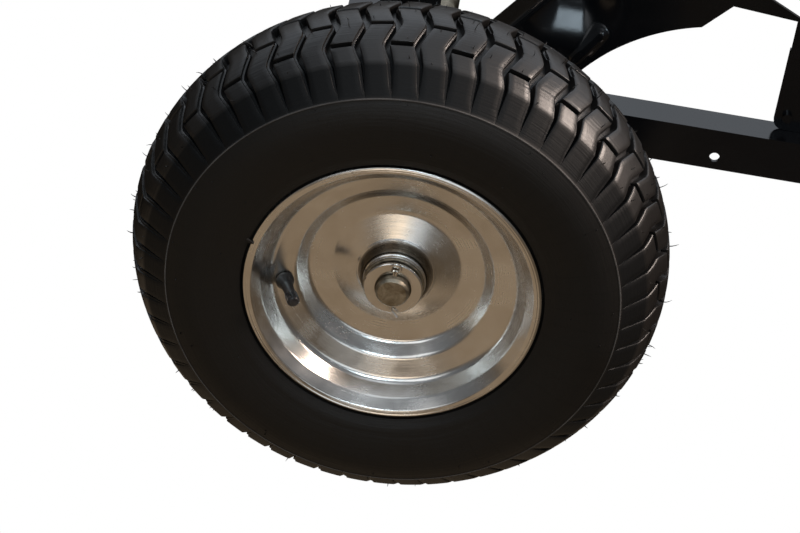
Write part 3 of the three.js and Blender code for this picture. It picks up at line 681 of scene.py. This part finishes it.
def put_on_wheels(obj, base_name, slot, *nodes):
    """Places a piece drawn in the wheel's own axes on the right wheel, and a copy on the left."""
    copy = new_object(f"{base_name}_left", obj.data)
    obj.name = f"{base_name}_right"
    for piece, side in ((obj, "right"), (copy, "left")):
        piece.matrix_world = wheel_matrix(side)
        place_on(f"wheel_{side}", piece, slot, *[f"{node}_{side}" for node in nodes])


put_on_wheels(build_tyre(), "turf_tyre", "tyre_rubber", "tyre")


def whisker(place, outward, length, thickness):
    """Points of one tapering moulding hair, four to a ring."""
    side = outward.orthogonal().normalized()
    other = outward.cross(side)
    lean = (side * rng.uniform(-1, 1) + other * rng.uniform(-1, 1)) * 0.45
    points = []
    for share, size in ((-0.06, 1.0), (0.3, 0.8), (0.7, 0.6), (1.0, 0.25)):
        middle = place + outward * length * share + lean * length * share**2
        for k in range(4):
            angle = math.pi * k / 2
            points.append(middle + (side * math.cos(angle) + other * math.sin(angle)) * thickness * size)
    return points


def whisker_at(arc, near, angle, length, thickness):
    """A whisker on the tyre's surface, or none where it would leave the tyre's box."""
    along, radius = section_at(arc)
    flank = Vector((0, 1 if near else -1, 0))
    radial = Vector((-math.cos(angle), 0, math.sin(angle)))
    lift = min(1.0, max(0.0, (arc - 10) / 60))
    outward = (radial * lift + flank * (1 - lift)).normalized()
    place = radial * radius + flank * along
    tip = place + outward * length
    if tip.z < -TYRE_RADIUS + 0.3 or abs(tip.y) > TYRE_HALF - 0.1:
        return []
    return whisker(place, outward, length, thickness)


def build_whiskers():
    hairs = []
    # Arc length, chance and greatest length of the hairs on the tread.
    places = ((SHOULDER + 2, 0.45, 3.5), (66, 0.4, 4.5), (78, 0.35, 5.5), (88, 0.5, 7.5))
    for pitch in range(PITCHES):
        for near in (True, False):
            face_start = PHASE + pitch * PITCH + math.radians(2.2)
            for arc, chance, longest in places:
                if rng.random() < chance:
                    angle = face_start + math.radians(rng.uniform(0.0, 3.4))
                    spot = arc + rng.uniform(-2, 2)
                    length = rng.uniform(1.2, longest)
                    hairs.append(whisker_at(spot, near, angle, length, rng.uniform(0.36, 0.52)))
    for ring_arc in (-22, -4, 6, 13):
        for k in range(12):
            angle = 2 * math.pi * (k + rng.uniform(-0.25, 0.25)) / 12
            for near in (True, False):
                arc = ring_arc + rng.uniform(-2, 2)
                hairs.append(whisker_at(arc, near, angle, rng.uniform(0.6, 1.6), rng.uniform(0.5, 0.75)))
    shell = grid_faces(4, 4) + [range(4), range(12, 16)]
    return mesh_from("vent_whiskers_right", *gathered((hair, shell) for hair in hairs if hair), RUBBER, 60)


put_on_wheels(build_whiskers(), "vent_whiskers", "tyre_rubber")

# ---------------------------------------------------------------- rim and hub
# Pressed rim half, as (radius, along, corner radius): lip, band, outer ledge, inner ledge, hub cone.
RIM_FACE = [
    (112.4, 57.6, 0), (112.5, 60.0, 0.6), (112.0, 62.2, 1.0), (110.2, 63.0, 0.8), (109.2, 62.5, 0.3),
    (108.6, 62.7, 0.3), (106.4, 61.9, 3.0), (99.8, 54.6, 9.0), (92.8, 41.6, 9.0), (75.2, 35.4, 8.0),
    (66.8, 25.6, 7.0), (49.6, 23.4, 9.0), (30.4, 30.4, 2.4), (28.6, 31.4, 0.5), (27.7, 30.8, 0.3),
    (26.2, 38.8, 1.0), (25.2, 40.2, 0.4), (24.4, 40.0, 0),
]
RIM_BACK = [
    (24.4, 28.8, 0), (29.0, 27.6, 0.8), (48.6, 20.7, 1.6), (68.0, 23.0, 1.2), (73.9, 30.6, 1.0),
    (74.5, 0.2, 0), (76.9, 0.2, 0), (76.9, 32.7, 1.0), (92.2, 38.6, 1.2), (95.6, 40.4, 1.2),
    (102.0, 53.0, 1.5), (104.0, 57.0, 1.0), (112.4, 57.6, 0),
]
# One end of the welded hub tube, with its turned steps, and a flanged sleeve bearing.
HUB_END = [
    (17.8, 44.8, 0), (19.0, 45.0, 0.3), (22.6, 45.0, 0.3), (23.1, 44.4, 0.2), (23.1, 42.6, 0.2),
    (24.0, 42.0, 0.3), (24.0, 27.0, 0),
]
BEARING = [
    (13.0, 23.1, 0), (17.4, 23.1, 0), (17.4, 45.3, 0), (22.9, 45.3, 0.2), (23.2, 45.7, 0.2),
    (23.2, 47.8, 0.3), (22.8, 48.3, 0.2), (19.6, 48.3, 0.2), (19.2, 47.8, 0.2), (14.6, 47.8, 0.2),
    (13.0, 48.3, 0),
]


def flipped(section, sign=-1):
    """A section of (radius, along) on the side that sign says."""
    return [(radius, sign * along) for radius, along in section]


def build_rim_and_hub():
    rim = filleted(RIM_FACE, 10) + filleted(RIM_BACK, 2)[:-1]
    bearing = filleted(BEARING, 2)
    hub_end = filleted(HUB_END, 2)
    for end, sign in (("outer", 1), ("inner", -1)):
        half = lathe(f"rim_{end}", flipped(rim, sign), RIM_ZINC, 192, 28)
        put_on_wheels(half, f"pressed_rim_{end}", "zinc_steel", f"rim_{end}_half")
    hub = lathe("hub", hub_end + flipped(hub_end[::-1]), RIM_ZINC, 96, 30)
    put_on_wheels(hub, "hub_tube", "zinc_steel", "hub")
    for end, sign in (("outer", 1), ("inner", -1)):
        sleeve = lathe(f"bearing_{end}", flipped(bearing, sign), STEEL, 96, 30)
        put_on_wheels(sleeve, f"flanged_bearing_{end}", "dark_steel", f"bearing_{end}")


build_rim_and_hub()


# ---------------------------------------------------------------- valve
VALVE_RADIUS = 84.0  # of the valve hole's centre
VALVE_SEAT = 38.5
VALVE_LEAN = math.atan2(6, 16.5)


def valve_frame():
    """Matrix in the wheel's axes that stands a piece drawn along +Y on the rim, on the CAD's valve."""
    low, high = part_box("valve_stem_right")
    local = wheel_matrix("right").inverted() @ ((low + high) / 2)
    turn = math.atan2(local.z, local.x)
    stand = Matrix.Rotation(-turn, 4, "Y") @ Matrix.Translation((VALVE_RADIUS * MM, VALVE_SEAT * MM, 0))
    return stand @ Matrix.Rotation(VALVE_LEAN, 4, "Z")


STEM = [
    (0.01, -9.0, 0), (7.0, -8.0, 0.8), (8.0, -5.0, 0.6), (5.7, -4.0, 0.5), (5.7, 0.4, 0.4), (7.1, 0.9, 0.6),
    (7.0, 3.0, 0.8), (5.6, 6.2, 1.5), (4.5, 10.0, 2.0), (4.15, 16.0, 1.0), (4.15, 21.2, 0.6),
    (3.4, 22.0, 0.4), (0.01, 22.0, 0),
]
CAP = [
    (0.01, 22.3, 0), (4.4, 22.3, 0.3), (4.9, 22.9, 0.3), (4.9, 24.0, 0.3), (4.65, 24.4, 0.2),
    (4.65, 31.4, 0.8), (3.6, 33.1, 0.8), (0.01, 33.3, 0),
]


def cap_ribs(radius, along, k):
    """Moulded ribs round the side of the screw cap."""
    if 24.2 < along < 31.6 and radius > 4:
        return radius + 0.22 * (1 if k % 4 in (1, 2) else -1), along
    return radius, along


def build_valve():
    stem = lathe("valve_stem", filleted(STEM, 3), SOFT, 40, 40)
    cap = lathe("valve_cap", filleted(CAP, 3), NYLON, 96, 30, cap_ribs)
    for obj in (stem, cap):
        obj.data.transform(valve_frame())
    put_on_wheels(stem, "tyre_valve", "soft_rubber", "valve_stem")
    put_on_wheels(cap, "tyre_valve_cap", "nylon", "valve_cap")


build_valve()


def flash_ring(angle, radius, width, heights):
    """Four points across the flap at one radius."""
    points = []
    for across, height in zip((-1, -0.6, 0.6, 1), heights):
        points.append(turned(radius, height, angle + across * width / 2 / radius))
    return points


def build_flash():
    """Small flap of moulding flash that overlaps the rim flange."""
    angle = math.radians(166)
    points = []
    for radius, width, lift in ((116.5, 4.2, 63.2), (113.0, 3.2, 63.6), (110.2, 1.6, 63.7)):
        points += flash_ring(angle, radius, width, (lift - 0.9, lift, lift, lift - 0.9))
    top = len(points)
    for radius, width, lift in ((116.5, 4.0, 62.3), (113.0, 3.0, 63.2), (110.2, 1.4, 63.25)):
        points += flash_ring(angle, radius, width, [lift] * 4)
    upper = grid_faces(3, 4, wrap_columns=False)
    lower = [tuple(top + i for i in reversed(face)) for face in upper]
    border = [0, 1, 2, 3, 7, 11, 10, 9, 8, 4]
    sides = [(a, b, b + top, a + top) for a, b in around(border)]
    return mesh_from("flash", points, upper + lower + sides, RUBBER, 40)


put_on_wheels(build_flash(), "moulding_flash", "tyre_rubber")


# ---------------------------------------------------------------- axle ends
def place_at_axle(obj, slot, node):
    """Hands over a piece of the frame that was drawn with the axle as its origin."""
    obj.data.transform(Matrix.Translation(AXLE))
    place_on("frame", obj, slot, node)


def build_axle():
    """Axle bar with chamfered ends, their faces left slightly rough by the saw."""
    low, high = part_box("axle")
    radius = (high.z - low.z) / 2 / MM
    end = high.y / MM
    sides = 96
    half = filleted(
        [
            (0.01, end - 0.3, 0), (4.0, end - 0.3, 0), (7.5, end - 0.1, 0), (radius - 1.9, end, 0.8),
            (radius, end - 2.2, 0.9), (radius, end - 40, 0),
        ],
        3,
    )

    def sawn(r, along, k):
        angle = 2 * math.pi * k / sides
        if abs(along) > end - 2 and 1 < r < radius - 1:
            along += math.copysign(min(0.12 * math.sin(3 * angle + r) * math.sin(7 * angle), 0), along)
        return r, along

    obj = lathe("wheel_axle", half + flipped(half[::-1]), STEEL, sides, 35, sawn)
    place_at_axle(obj, "dark_steel", "axle")


build_axle()


def build_washer(side, sign):
    """Washer between the hub and the split pin, dished at its bore."""
    low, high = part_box(f"wheel_washer_{side}")
    outer = (high.z - low.z) / 2 / MM
    inside, outside = sorted((abs(low.y) / MM, abs(high.y) / MM))
    section = filleted(
        [
            (13.2, inside, 0), (outer - 0.4, inside, 0.3), (outer, inside + 0.5, 0.4),
            (outer, outside - 0.7, 0.4), (outer - 0.8, outside, 0.5), (13.9, outside, 0.4),
            (13.2, outside - 0.6, 0),
        ],
        3,
    )
    obj = lathe(f"axle_washer_{side}", flipped(section, sign), RIM_ZINC, 96, 35)
    place_at_axle(obj, "zinc_steel", f"wheel_washer_{side}")


def build_cotter(side, sign):
    """Split pin: an eye on top, two legs through the axle, the longer one bent over below."""
    low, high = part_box(f"cotter_pin_{side}")
    plane = (high.y + low.y) / 2 / MM
    top, bottom = high.z / MM, low.z / MM
    x, z = AXLE.x / MM, AXLE.z / MM
    wire, eye, half_gap = 1.05, 3.7, 0.85
    eye_centre = top - eye - 1.2
    neck = eye_centre - 5.2
    loop = [(x + half_gap, plane, z - 16), (x + half_gap, plane, neck)]
    for k in range(13):
        angle = math.radians(-55 + 290 * k / 12)
        loop.append((x + eye * math.cos(angle), plane, eye_centre + eye * math.sin(angle)))
    loop += [(x - half_gap, plane, neck), (x - half_gap, plane, z - 15.5)]
    long_end = [(x + half_gap, plane, z - 15), (x + 1.6, plane + sign * 0.2, z - 17.4)]
    long_end.append((x + 6.6, plane + sign * 1.2, bottom + 1.2))
    short_end = [(x - half_gap, plane, z - 15), (x - 1.1, plane, z - 17.5)]
    wires = (("cotter_legs", loop, 3), ("cotter_bent", long_end, 6), ("cotter_stub", short_end, 2))
    parts = [sweep(name, smooth_path(path, steps), wire, ZINC) for name, path, steps in wires]
    pin = join_objects(f"split_pin_{side}", parts)
    pin.data.shade_smooth()
    place_on("frame", pin, "zinc_steel", f"cotter_pin_{side}")


for side_name, side_sign in SIDES:
    build_washer(side_name, side_sign)
    build_cotter(side_name, side_sign)


# ---------------------------------------------------------------- frame plates
def pressed_plate(name, outline, spacing, shape, sign):
    """A sheet in X and Z from its outline, filled with a fine mesh and pressed to shape.

    outline is a list of (x, z) in millimetres; shape(x, z) gives the outer face's distance from the
    centre plane. The inner face follows it, a sheet's thickness further in.
    """
    ring = [Vector(p) for p in outline]
    dense = []
    for a, b in around(ring):
        pieces = max(1, round((b - a).length / spacing))
        dense += [a + (b - a) * (k / pieces) for k in range(pieces)]
    low = Vector((min(p.x for p in ring), min(p.y for p in ring)))
    high = Vector((max(p.x for p in ring), max(p.y for p in ring)))
    inner = []
    row = 0
    z = low.y + spacing / 2
    while z < high.y:
        x = low.x + (spacing / 2 if row % 2 else spacing)
        while x < high.x:
            spot = Vector((x, z))
            if inside_outline(spot, dense) and all((spot - p).length > spacing * 0.55 for p in dense):
                inner.append(spot)
            x += spacing
        z += spacing * 0.87
        row += 1
    flat = dense + inner
    edges = [(i, (i + 1) % len(dense)) for i in range(len(dense))]
    points, _, triangles, _, _, _ = delaunay_2d_cdt(flat, edges, [list(range(len(dense)))], 1, 1e-4)
    count = len(points)
    border = boundary_of(triangles)
    outer = [(p.x, sign * shape(p.x, p.y), p.y) for p in points]
    back = [(p.x, sign * (shape(p.x, p.y) - SHEET), p.y) for p in points]
    faces = [tuple(t) for t in triangles]
    faces += [tuple(count + i for i in reversed(t)) for t in triangles]
    faces += [(b, a, a + count, b + count) for a, b in border]
    return mesh_from(name, outer + back, faces, PAINT, 40)


def inside_outline(spot, ring):
    """Whether a line from the spot towards +X crosses the ring an odd number of times."""
    hit = False
    for a, b in around(ring):
        if (a.y > spot.y) != (b.y > spot.y):
            if spot.x < a.x + (spot.y - a.y) / (b.y - a.y) * (b.x - a.x):
                hit = not hit
    return hit


def boundary_of(triangles):
    """Edges that only one triangle has, each the way that its triangle runs."""
    seen = dict.fromkeys(edge for triangle in triangles for edge in around(list(triangle)))
    return [(a, b) for a, b in seen if (b, a) not in seen]


GUSSET_LOW, GUSSET_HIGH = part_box("arch_gusset_right")
GUSSET_FACE = -GUSSET_LOW.y / MM
SHEET = 3.0
LEG_SLOPE = math.radians(52.9)
NOSE_SLOPE = math.radians(26)
ARCH = (241.9, -19.5, 156.0)
LEG_FLANGE, CROWN_FLANGE = 41.0, 17.0
BEND = 5.0  # radius of the folded edges
# Corners of the gusset, in X and Z from the axle.
FOOT, BASE = (GUSSET_LOW.x - AXLE.x) / MM, (GUSSET_LOW.z - AXLE.z) / MM
FRONT, CROWN_HEIGHT = (GUSSET_HIGH.x - AXLE.x) / MM, (GUSSET_HIGH.z - AXLE.z) / MM
CROWN_REAR = FOOT + (CROWN_HEIGHT - BASE) / math.tan(LEG_SLOPE)
NOSE_START = 210.0
NOSE_END = CROWN_HEIGHT - (FRONT - NOSE_START) * math.tan(NOSE_SLOPE)
LAP_LENGTH, LAP_LOW, LAP_HIGH = 52.0, 118.0, 151.0
HOLLOW = 19.0  # depth of the pressed hollow, and where each of its edges starts and how wide it is
HOLLOW_REAR, HOLLOW_FRONT, HOLLOW_FOOT, HOLLOW_TOP = (60.0, 32.0), (146.0, 36.0), (93.0, 42.0), (167.0, 32.0)
HOLLOW_BULGE = 0.36  # how far its lower slope swells
RIB_TOP, RIB_FOOT = Vector((128.0, 110.0)), Vector((112.0, 84.0))
RIB_HALF, RIB_HEIGHT = 6.5, 4.0


def smooth(t):
    t = max(0.0, min(1.0, t))
    return 3 * t**2 - 2 * t**3


def gusset_shape(x, z):
    """Distance of the gusset's outer face from the centre plane, less a hollow that fills the leg
    and plus a rib that runs down from there to the rail."""
    rear, front, foot, top = [
        (value - start) * way / width
        for value, way, (start, width) in (
            (x, 1, HOLLOW_REAR), (x, -1, HOLLOW_FRONT), (z, 1, HOLLOW_FOOT), (z, -1, HOLLOW_TOP)
        )
    ]
    rise = max(0.0, min(1.0, foot))
    ramp = rise - HOLLOW_BULGE * math.sin(2 * math.pi * rise) / (2 * math.pi)
    hollow = HOLLOW * smooth(rear) * smooth(front) * ramp * smooth(top)
    run = RIB_FOOT - RIB_TOP
    spot = Vector((x, z)) - RIB_TOP
    along = max(0.0, min(1.0, spot.dot(run) / run.length_squared))
    away = (spot - run * along).length
    return GUSSET_FACE - hollow + RIB_HEIGHT * smooth(1 - (away / RIB_HALF) ** 2)


def gusset_outline():
    """Points round the flat web, starting along the leg, and the leg's direction."""
    leg = Vector((math.cos(LEG_SLOPE), math.sin(LEG_SLOPE)))
    shift = Vector((leg.y, -leg.x)) * BEND
    foot = Vector((FOOT, BASE)) + shift
    foot += leg * ((BASE - foot.y) / leg.y)
    head = Vector((CROWN_REAR, CROWN_HEIGHT)) + shift
    head += leg * ((CROWN_HEIGHT - BEND - head.y) / leg.y)
    crown = [(NOSE_START - 6, CROWN_HEIGHT - BEND), (NOSE_START + 3, CROWN_HEIGHT - 1.6)]
    lap = [(FRONT, NOSE_END), (FRONT, LAP_LOW), (FRONT - LAP_LENGTH, LAP_LOW), (FRONT - LAP_LENGTH, LAP_HIGH)]
    points = [foot, head] + [Vector(p) for p in crown + lap + [(226.0, 155.0)]]
    cx, cz, r = ARCH
    end = math.acos((205.0 - cx) / r)
    start = math.pi - math.asin((BASE - cz) / r)
    points += [Vector((cx + r * math.cos(t), cz + r * math.sin(t))) for t in np.linspace(end, start, 40)]
    return points, leg


def fold(name, path, outward, width, sign):
    """A flange folded inward along path, with a rounded bend. path is (x, z) on the web's edge."""
    rows = []
    for inset in (0.0, SHEET):
        inner = BEND - inset
        angles = [math.pi / 2 * k / 8 for k in range(9)]
        line = [(inner * math.sin(t), BEND - inner * math.cos(t)) for t in angles]
        line += [(inner, max(width * 0.5, BEND + 2)), (inner, width - 0.6)]
        rows.append(line)
    loop = rows[0] + [(rows[0][-1][0] - 0.5, width), (rows[1][-1][0] + 0.5, width)] + rows[1][::-1]
    points = []
    for p in path:
        for out, deep in loop:
            q = p + outward * out
            points.append((q.x, sign * (GUSSET_FACE - deep), q.y))
    count = len(loop)
    faces = grid_faces(len(path), count)
    faces += [tuple(range(count)), tuple(range((len(path) - 1) * count, len(path) * count))]
    return mesh_from(name, points, faces, PAINT, 35)


def build_gusset(side, sign):
    outline, leg = gusset_outline()
    web = pressed_plate("web", outline, 2.4, gusset_shape, sign)
    steps = 12
    leg_path = [outline[0].lerp(outline[1], k / steps) for k in range(steps + 1)]
    leg_fold = fold("leg_fold", leg_path, Vector((-leg.y, leg.x)), LEG_FLANGE, sign)
    crown_path = [outline[1].lerp(outline[2], k / steps) for k in range(steps + 1)]
    crown_fold = fold("crown_fold", crown_path, Vector((0, 1)), CROWN_FLANGE, sign)
    obj = join_objects(f"pressed_gusset_{side}", [web, leg_fold, crown_fold])
    place_at_axle(obj, "black_paint", f"arch_gusset_{side}")


for side_name, side_sign in SIDES:
    build_gusset(side_name, side_sign)


# ---------------------------------------------------------------- tub and tailgate pressings
def box_of(node):
    """The corners of a CAD node's box, in millimetres."""
    return [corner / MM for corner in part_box(node)]


BEAD_RING = 10  # points of a bead's cross-section: nine over the top and one underneath


def bead(start, end, outward, width, height):
    """(points, faces) of one raised bead with rounded ends, lying on a sheet."""
    run = end - start
    length = run.length
    along = run.normalized()
    across = along.cross(outward).normalized()
    reach = width / 2
    stations = [reach * (1 - math.cos(math.pi * k / 12)) for k in range(1, 7)]
    places = [0.02 * reach] + stations + [length - d for d in reversed(stations)] + [length - 0.02 * reach]
    points = []
    for place in places:
        gap = min(place, length - place)
        scale = math.sqrt(max(0.0, 1 - (1 - min(1.0, gap / reach)) ** 2))
        middle = start + along * place
        for k in range(BEAD_RING - 1):
            angle = math.pi * k / (BEAD_RING - 2)
            side = across * math.cos(angle) * reach * scale
            points.append(middle + side + outward * (math.sin(angle) ** 1.4 * height * scale - 0.4))
        points.append(middle - outward * 1.2)
    rows = len(places)
    ends = [range(BEAD_RING), range((rows - 1) * BEAD_RING, rows * BEAD_RING)]
    return points, grid_faces(rows, BEAD_RING) + ends


def build_beads(name, lines, width, height, body):
    """One object from many beads; lines are (start, end, outward) in millimetres."""
    beads = []
    for start, end, outward in lines:
        beads.append(bead(Vector(start), Vector(end), Vector(outward).normalized(), width, height))
    obj = mesh_from(name, *gathered(beads), PAINT, 50)
    obj.visible_glossy = False  # like the sheets they are pressed in
    place_on(body, obj, "black_paint")


TUB_LIP = 20.0
SIDE_TAPER, FRONT_TAPER = 49.0, 60.0  # how far the walls lean out between floor and lip


def build_tub_pressings():
    low, high = box_of("tub")
    floor_half = high.y - TUB_LIP - SIDE_TAPER
    front_floor = high.x - TUB_LIP - FRONT_TAPER
    rear = low.x + TUB_LIP
    side_lean, front_lean = SIDE_TAPER / (high.z - low.z), FRONT_TAPER / (high.z - low.z)
    count = 7
    beads = []
    for k in range(count):
        x = rear + 90 + (front_floor - rear - 180) * k / (count - 1)
        for _, sign in SIDES:
            ends = [(x, sign * (floor_half + rise * side_lean), low.z + rise) for rise in (45, 225)]
            beads.append((*ends, (0, sign, -side_lean)))
    build_beads("tub_side_beads", beads, 24, 4.0, "tub")
    count = 6
    beads = []
    for k in range(count):
        y = -floor_half + 60 + (2 * floor_half - 120) * k / (count - 1)
        beads.append(((rear + 60, y, low.z + 2), (front_floor - 60, y, low.z + 2), (0, 0, 1)))
    build_beads("tub_floor_beads", beads, 26, 3.5, "tub")
    beads = []
    for rise in (75, 145, 215):
        x = front_floor + rise * front_lean
        ends = [(x, y, low.z + rise) for y in (-floor_half + 60, floor_half - 60)]
        beads.append((*ends, (1, 0, -front_lean)))
    build_beads("tub_front_beads", beads, 24, 3.5, "tub")
    low, high = box_of("tailgate")
    beads = []
    for rise in (70, 140, 210):
        ends = [(high.x, y, low.z + rise) for y in (low.y + 90, high.y - 90)]
        beads.append((*ends, (1, 0, 0)))
    build_beads("tailgate_beads", beads, 24, 3.0, "tailgate")


build_tub_pressings()


# ---------------------------------------------------------------- fasteners
def bolt_shells(place, outward, across_flats, thick):
    """A washer under a chamfered hexagon head, as closed shells of (points, faces)."""
    side = outward.orthogonal().normalized()
    other = outward.cross(side)
    edge, rim = across_flats * 0.98, across_flats * 0.93
    washer = [(0.2, -0.3), (edge, -0.3), (across_flats, 0.5), (rim, 0.9), (0.2, 0.9)]
    half = across_flats / 2 / math.cos(math.pi / 6)
    head = [(0.2, 0.7), (half, 0.7), (half, thick - 0.9), (half * 0.88, thick), (0.2, thick)]
    shells = []
    for section, count, turn in ((washer, 24, 0.0), (head, 6, 0.4)):
        points = []
        for radius, lift in section:
            for k in range(count):
                angle = turn + 2 * math.pi * k / count
                ray = side * math.cos(angle) + other * math.sin(angle)
                points.append(place + outward * lift + ray * radius)
        shells.append((points, grid_faces(len(section), count, wrap_rows=True)))
    return shells


def build_bolts(name, spots, across_flats, thick):
    """One object from many bolt heads; spots are (place, outward) in millimetres."""
    shells = []
    for place, outward in spots:
        shells += bolt_shells(Vector(place), Vector(outward), across_flats, thick)
    place_on("frame", mesh_from(name, *gathered(shells), ZINC, 28), "zinc_steel")


def build_fasteners():
    """Bolt heads where plates meet: through the pivot brackets, the rails and the drawbar."""
    pivot_spots, rail_spots, drawbar_spots = [], [], []
    for side, sign in SIDES:
        low, high = box_of(f"pivot_bracket_{side}")
        outer = high.y if sign > 0 else low.y
        for x in (low.x + 12, high.x - 12):
            pivot_spots.append(((x, outer, low.z + 16), (0, sign, 0)))
        low, high = box_of(f"side_rail_{side}")
        outer = high.y if sign > 0 else low.y
        for member in ("rear_crossmember", "mid_crossmember", "front_crossmember"):
            low, high = box_of(member)
            rail_spots.append((((low.x + high.x) / 2, outer, (low.z + high.z) / 2), (0, sign, 0)))
    under_tongue = box_of("drawbar")[0].z
    for member in ("mid_crossmember", "front_crossmember"):
        low, high = box_of(member)
        drawbar_spots.append((((low.x + high.x) / 2, 0, under_tongue), (0, 0, -1)))
    build_bolts("pivot_bolts", pivot_spots, 10.0, 5.0)
    build_bolts("rail_bolts", rail_spots, 12.0, 6.0)
    build_bolts("drawbar_bolts", drawbar_spots, 14.0, 7.0)


build_fasteners()

# ---------------------------------------------------------------- carried-over CAD nodes
# The photographed frame mirrors open sky, so what stands over it stays out of reflections.
UNMIRRORED = ("tub", "gate_channel", "tailgate", "hinge_ear", "latch_striker")


def finish_carried_nodes():
    """Gives every CAD node that nothing replaces its material and a small rounded edge."""
    slot_of = {row["node"]: row["material_slot"] for row in frame["record"]["subparts"]}
    replaced = {node for obj in bpy.context.scene.objects for node in obj.get("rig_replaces", [])}
    for node, obj in frame["nodes"].items():
        if node in replaced:
            continue
        obj.data.materials.clear()
        obj.data.materials.append(SLOT_MATERIALS[slot_of[node]])
        obj.data.shade_smooth()
        obj.data.set_sharp_from_angle(angle=math.radians(25))
        edge = obj.modifiers.new("edge_round", "BEVEL")
        edge.width = 0.6 * MM
        edge.segments = 2
        edge.limit_method = "ANGLE"
        edge.angle_limit = math.radians(30)
        edge.harden_normals = False
        if node.startswith(UNMIRRORED):
            obj.visible_glossy = False


finish_carried_nodes()

# ---------------------------------------------------------------- stage, light and camera
FLOOR_HALF = 8.0
FAR_SKY = 1.25
WHITE = (1, 1, 1, 1)


def build_stage():
    """A floor that is white to the camera, and a glowing patch painted as lit ground, seen only in
    reflections.
    """
    s = Shader("studio_floor")
    sight = s.add("ShaderNodeLightPath")
    shade = s.noise(0.8, 2, 0.5)
    s.put("Base Color", s.mix(shade, (0.34, 0.27, 0.20), (0.30, 0.24, 0.18)))
    s.put("Roughness", 0.9)
    white = s.glow("ShaderNodeEmission", WHITE, 1.0)
    # A painted reflection: the floor glows as lit ground just in front of the wheel, for glossy rays only;
    # elsewhere the glow is faint.
    x, y, _ = s.split(s.place)
    painted_glow_mask = s.times(s.spread(y, -0.45, -0.3, 1, 0.06), s.spread(x, -0.2, -0.1, 1, 0.35))
    painted_ground_glow = s.glow("ShaderNodeEmission", (0.35, 0.265, 0.18, 1), painted_glow_mask)
    mirrored = s.choose(sight.outputs["Is Glossy Ray"], s.bsdf.outputs[0], painted_ground_glow)
    seen = s.choose(sight.outputs["Is Camera Ray"], mirrored, white)
    s.links.new(seen, s.nodes["Material Output"].inputs["Surface"])
    mesh = bpy.data.meshes.new("studio_floor")
    corners = [(x * FLOOR_HALF, y * FLOOR_HALF, -MM) for x, y in ((-1, -1), (1, -1), (1, 1), (-1, 1))]
    mesh.from_pydata(corners, [], [(0, 1, 2, 3)])
    mesh.materials.append(s.material)
    new_object("studio_floor", mesh)


def build_world():
    """Seen by the camera the room is white; in reflections it is dim with a bright far sky."""
    world = bpy.data.worlds.new("studio")
    bpy.context.scene.world = world
    world.use_nodes = True
    n = Nodes(world.node_tree)
    sight = n.add("ShaderNodeLightPath")
    _, far, upward = n.split(n.add("ShaderNodeTexCoord").outputs["Generated"])
    rising = n.spread(upward, 0.12, 0.4, 0, 1, "SMOOTHSTEP")
    fading = n.spread(upward, 0.75, 0.95, 1, 0, "SMOOTHSTEP")
    sky = n.times(n.spread(far, 0.2, 0.7, 0, 1, "SMOOTHSTEP"), n.times(rising, fading))
    dim = n.spread(upward, -0.1, 0.9, 0.12, 0.28, "SMOOTHSTEP")
    tint = n.add("ShaderNodeValToRGB")
    n.links.new(upward, tint.inputs["Fac"])
    tint.color_ramp.elements[0].color = (0.95, 0.80, 0.64, 1)
    tint.color_ramp.elements[1].position = 0.35
    tint.color_ramp.elements[1].color = (0.84, 0.91, 1.0, 1)
    room = n.glow("ShaderNodeBackground", tint.outputs["Color"], n.math("ADD", n.times(sky, FAR_SKY), dim))
    white = n.glow("ShaderNodeBackground", WHITE, 1.0)
    seen = n.choose(sight.outputs["Is Camera Ray"], room, white)
    n.links.new(seen, n.nodes["World Output"].inputs["Surface"])


# Softboxes: name, place, target, width, height, watts, colour.
LIGHTS = [
    ("key_top", (-0.6, -0.4, 2.6), (-0.3, 0, 0.2), 2.4, 2.0, 13, (0.86, 0.93, 1.0)),
    ("front_high", (-1.6, -2.6, 1.9), (-0.35, -0.45, 0.2), 1.4, 1.0, 7, (0.92, 0.96, 1.0)),
    ("front_cream", (-0.62, -3.1, 0.72), (-0.34, -0.5, 0.25), 0.8, 0.5, 3.5, (1.0, 0.84, 0.66)),
    ("front_blue", (0.25, -3.0, 0.75), (-0.25, -0.3, 0.32), 0.95, 0.7, 3.0, (0.80, 0.91, 1.0)),
    ("over_lens", (-0.2, -2.65, 1.9), (-0.25, -0.26, 0.32), 0.7, 0.55, 15.0, (0.72, 0.88, 1.0)),
    ("warm_side", (1.5, -0.55, 1.75), (-0.2, -0.5, 0.35), 0.8, 0.8, 90, (1.0, 0.84, 0.74)),
]


def build_lights():
    for name, place, target, width, height, power, color in LIGHTS:
        data = bpy.data.lights.new(name, "AREA")
        data.shape = "RECTANGLE"
        data.size, data.size_y = width, height
        data.energy = power
        data.color = color
        obj = new_object(name, data)
        obj.location = place
        obj.rotation_mode = "QUATERNION"
        obj.rotation_quaternion = (Vector(target) - Vector(place)).to_track_quat("-Z", "Y")


CAMERA_PLACE = Vector((-0.3244, -2.3529, 1.4734))
CAMERA_RIGHT = Vector((0.986, 0.099, 0.133))
CAMERA_UP = Vector((-0.165, 0.550, 0.818))
FOCAL, SENSOR_WIDTH = 135.0, 36.0
CLIP_START, CLIP_END = 0.05, 50


def build_camera():
    data = bpy.data.cameras.new("camera")
    data.lens = FOCAL
    data.sensor_width = SENSOR_WIDTH
    data.clip_start, data.clip_end = CLIP_START, CLIP_END
    right = CAMERA_RIGHT.normalized()
    up = (CAMERA_UP - right * CAMERA_UP.dot(right)).normalized()
    back = right.cross(up)
    turn = Matrix((right, up, back)).transposed().to_4x4()
    obj = new_object("camera", data)
    obj.matrix_world = Matrix.Translation(CAMERA_PLACE) @ turn
    bpy.context.scene.camera = obj


build_stage()
build_world()
build_lights()
build_camera()
bpy.context.scene.view_settings.view_transform = "Standard"
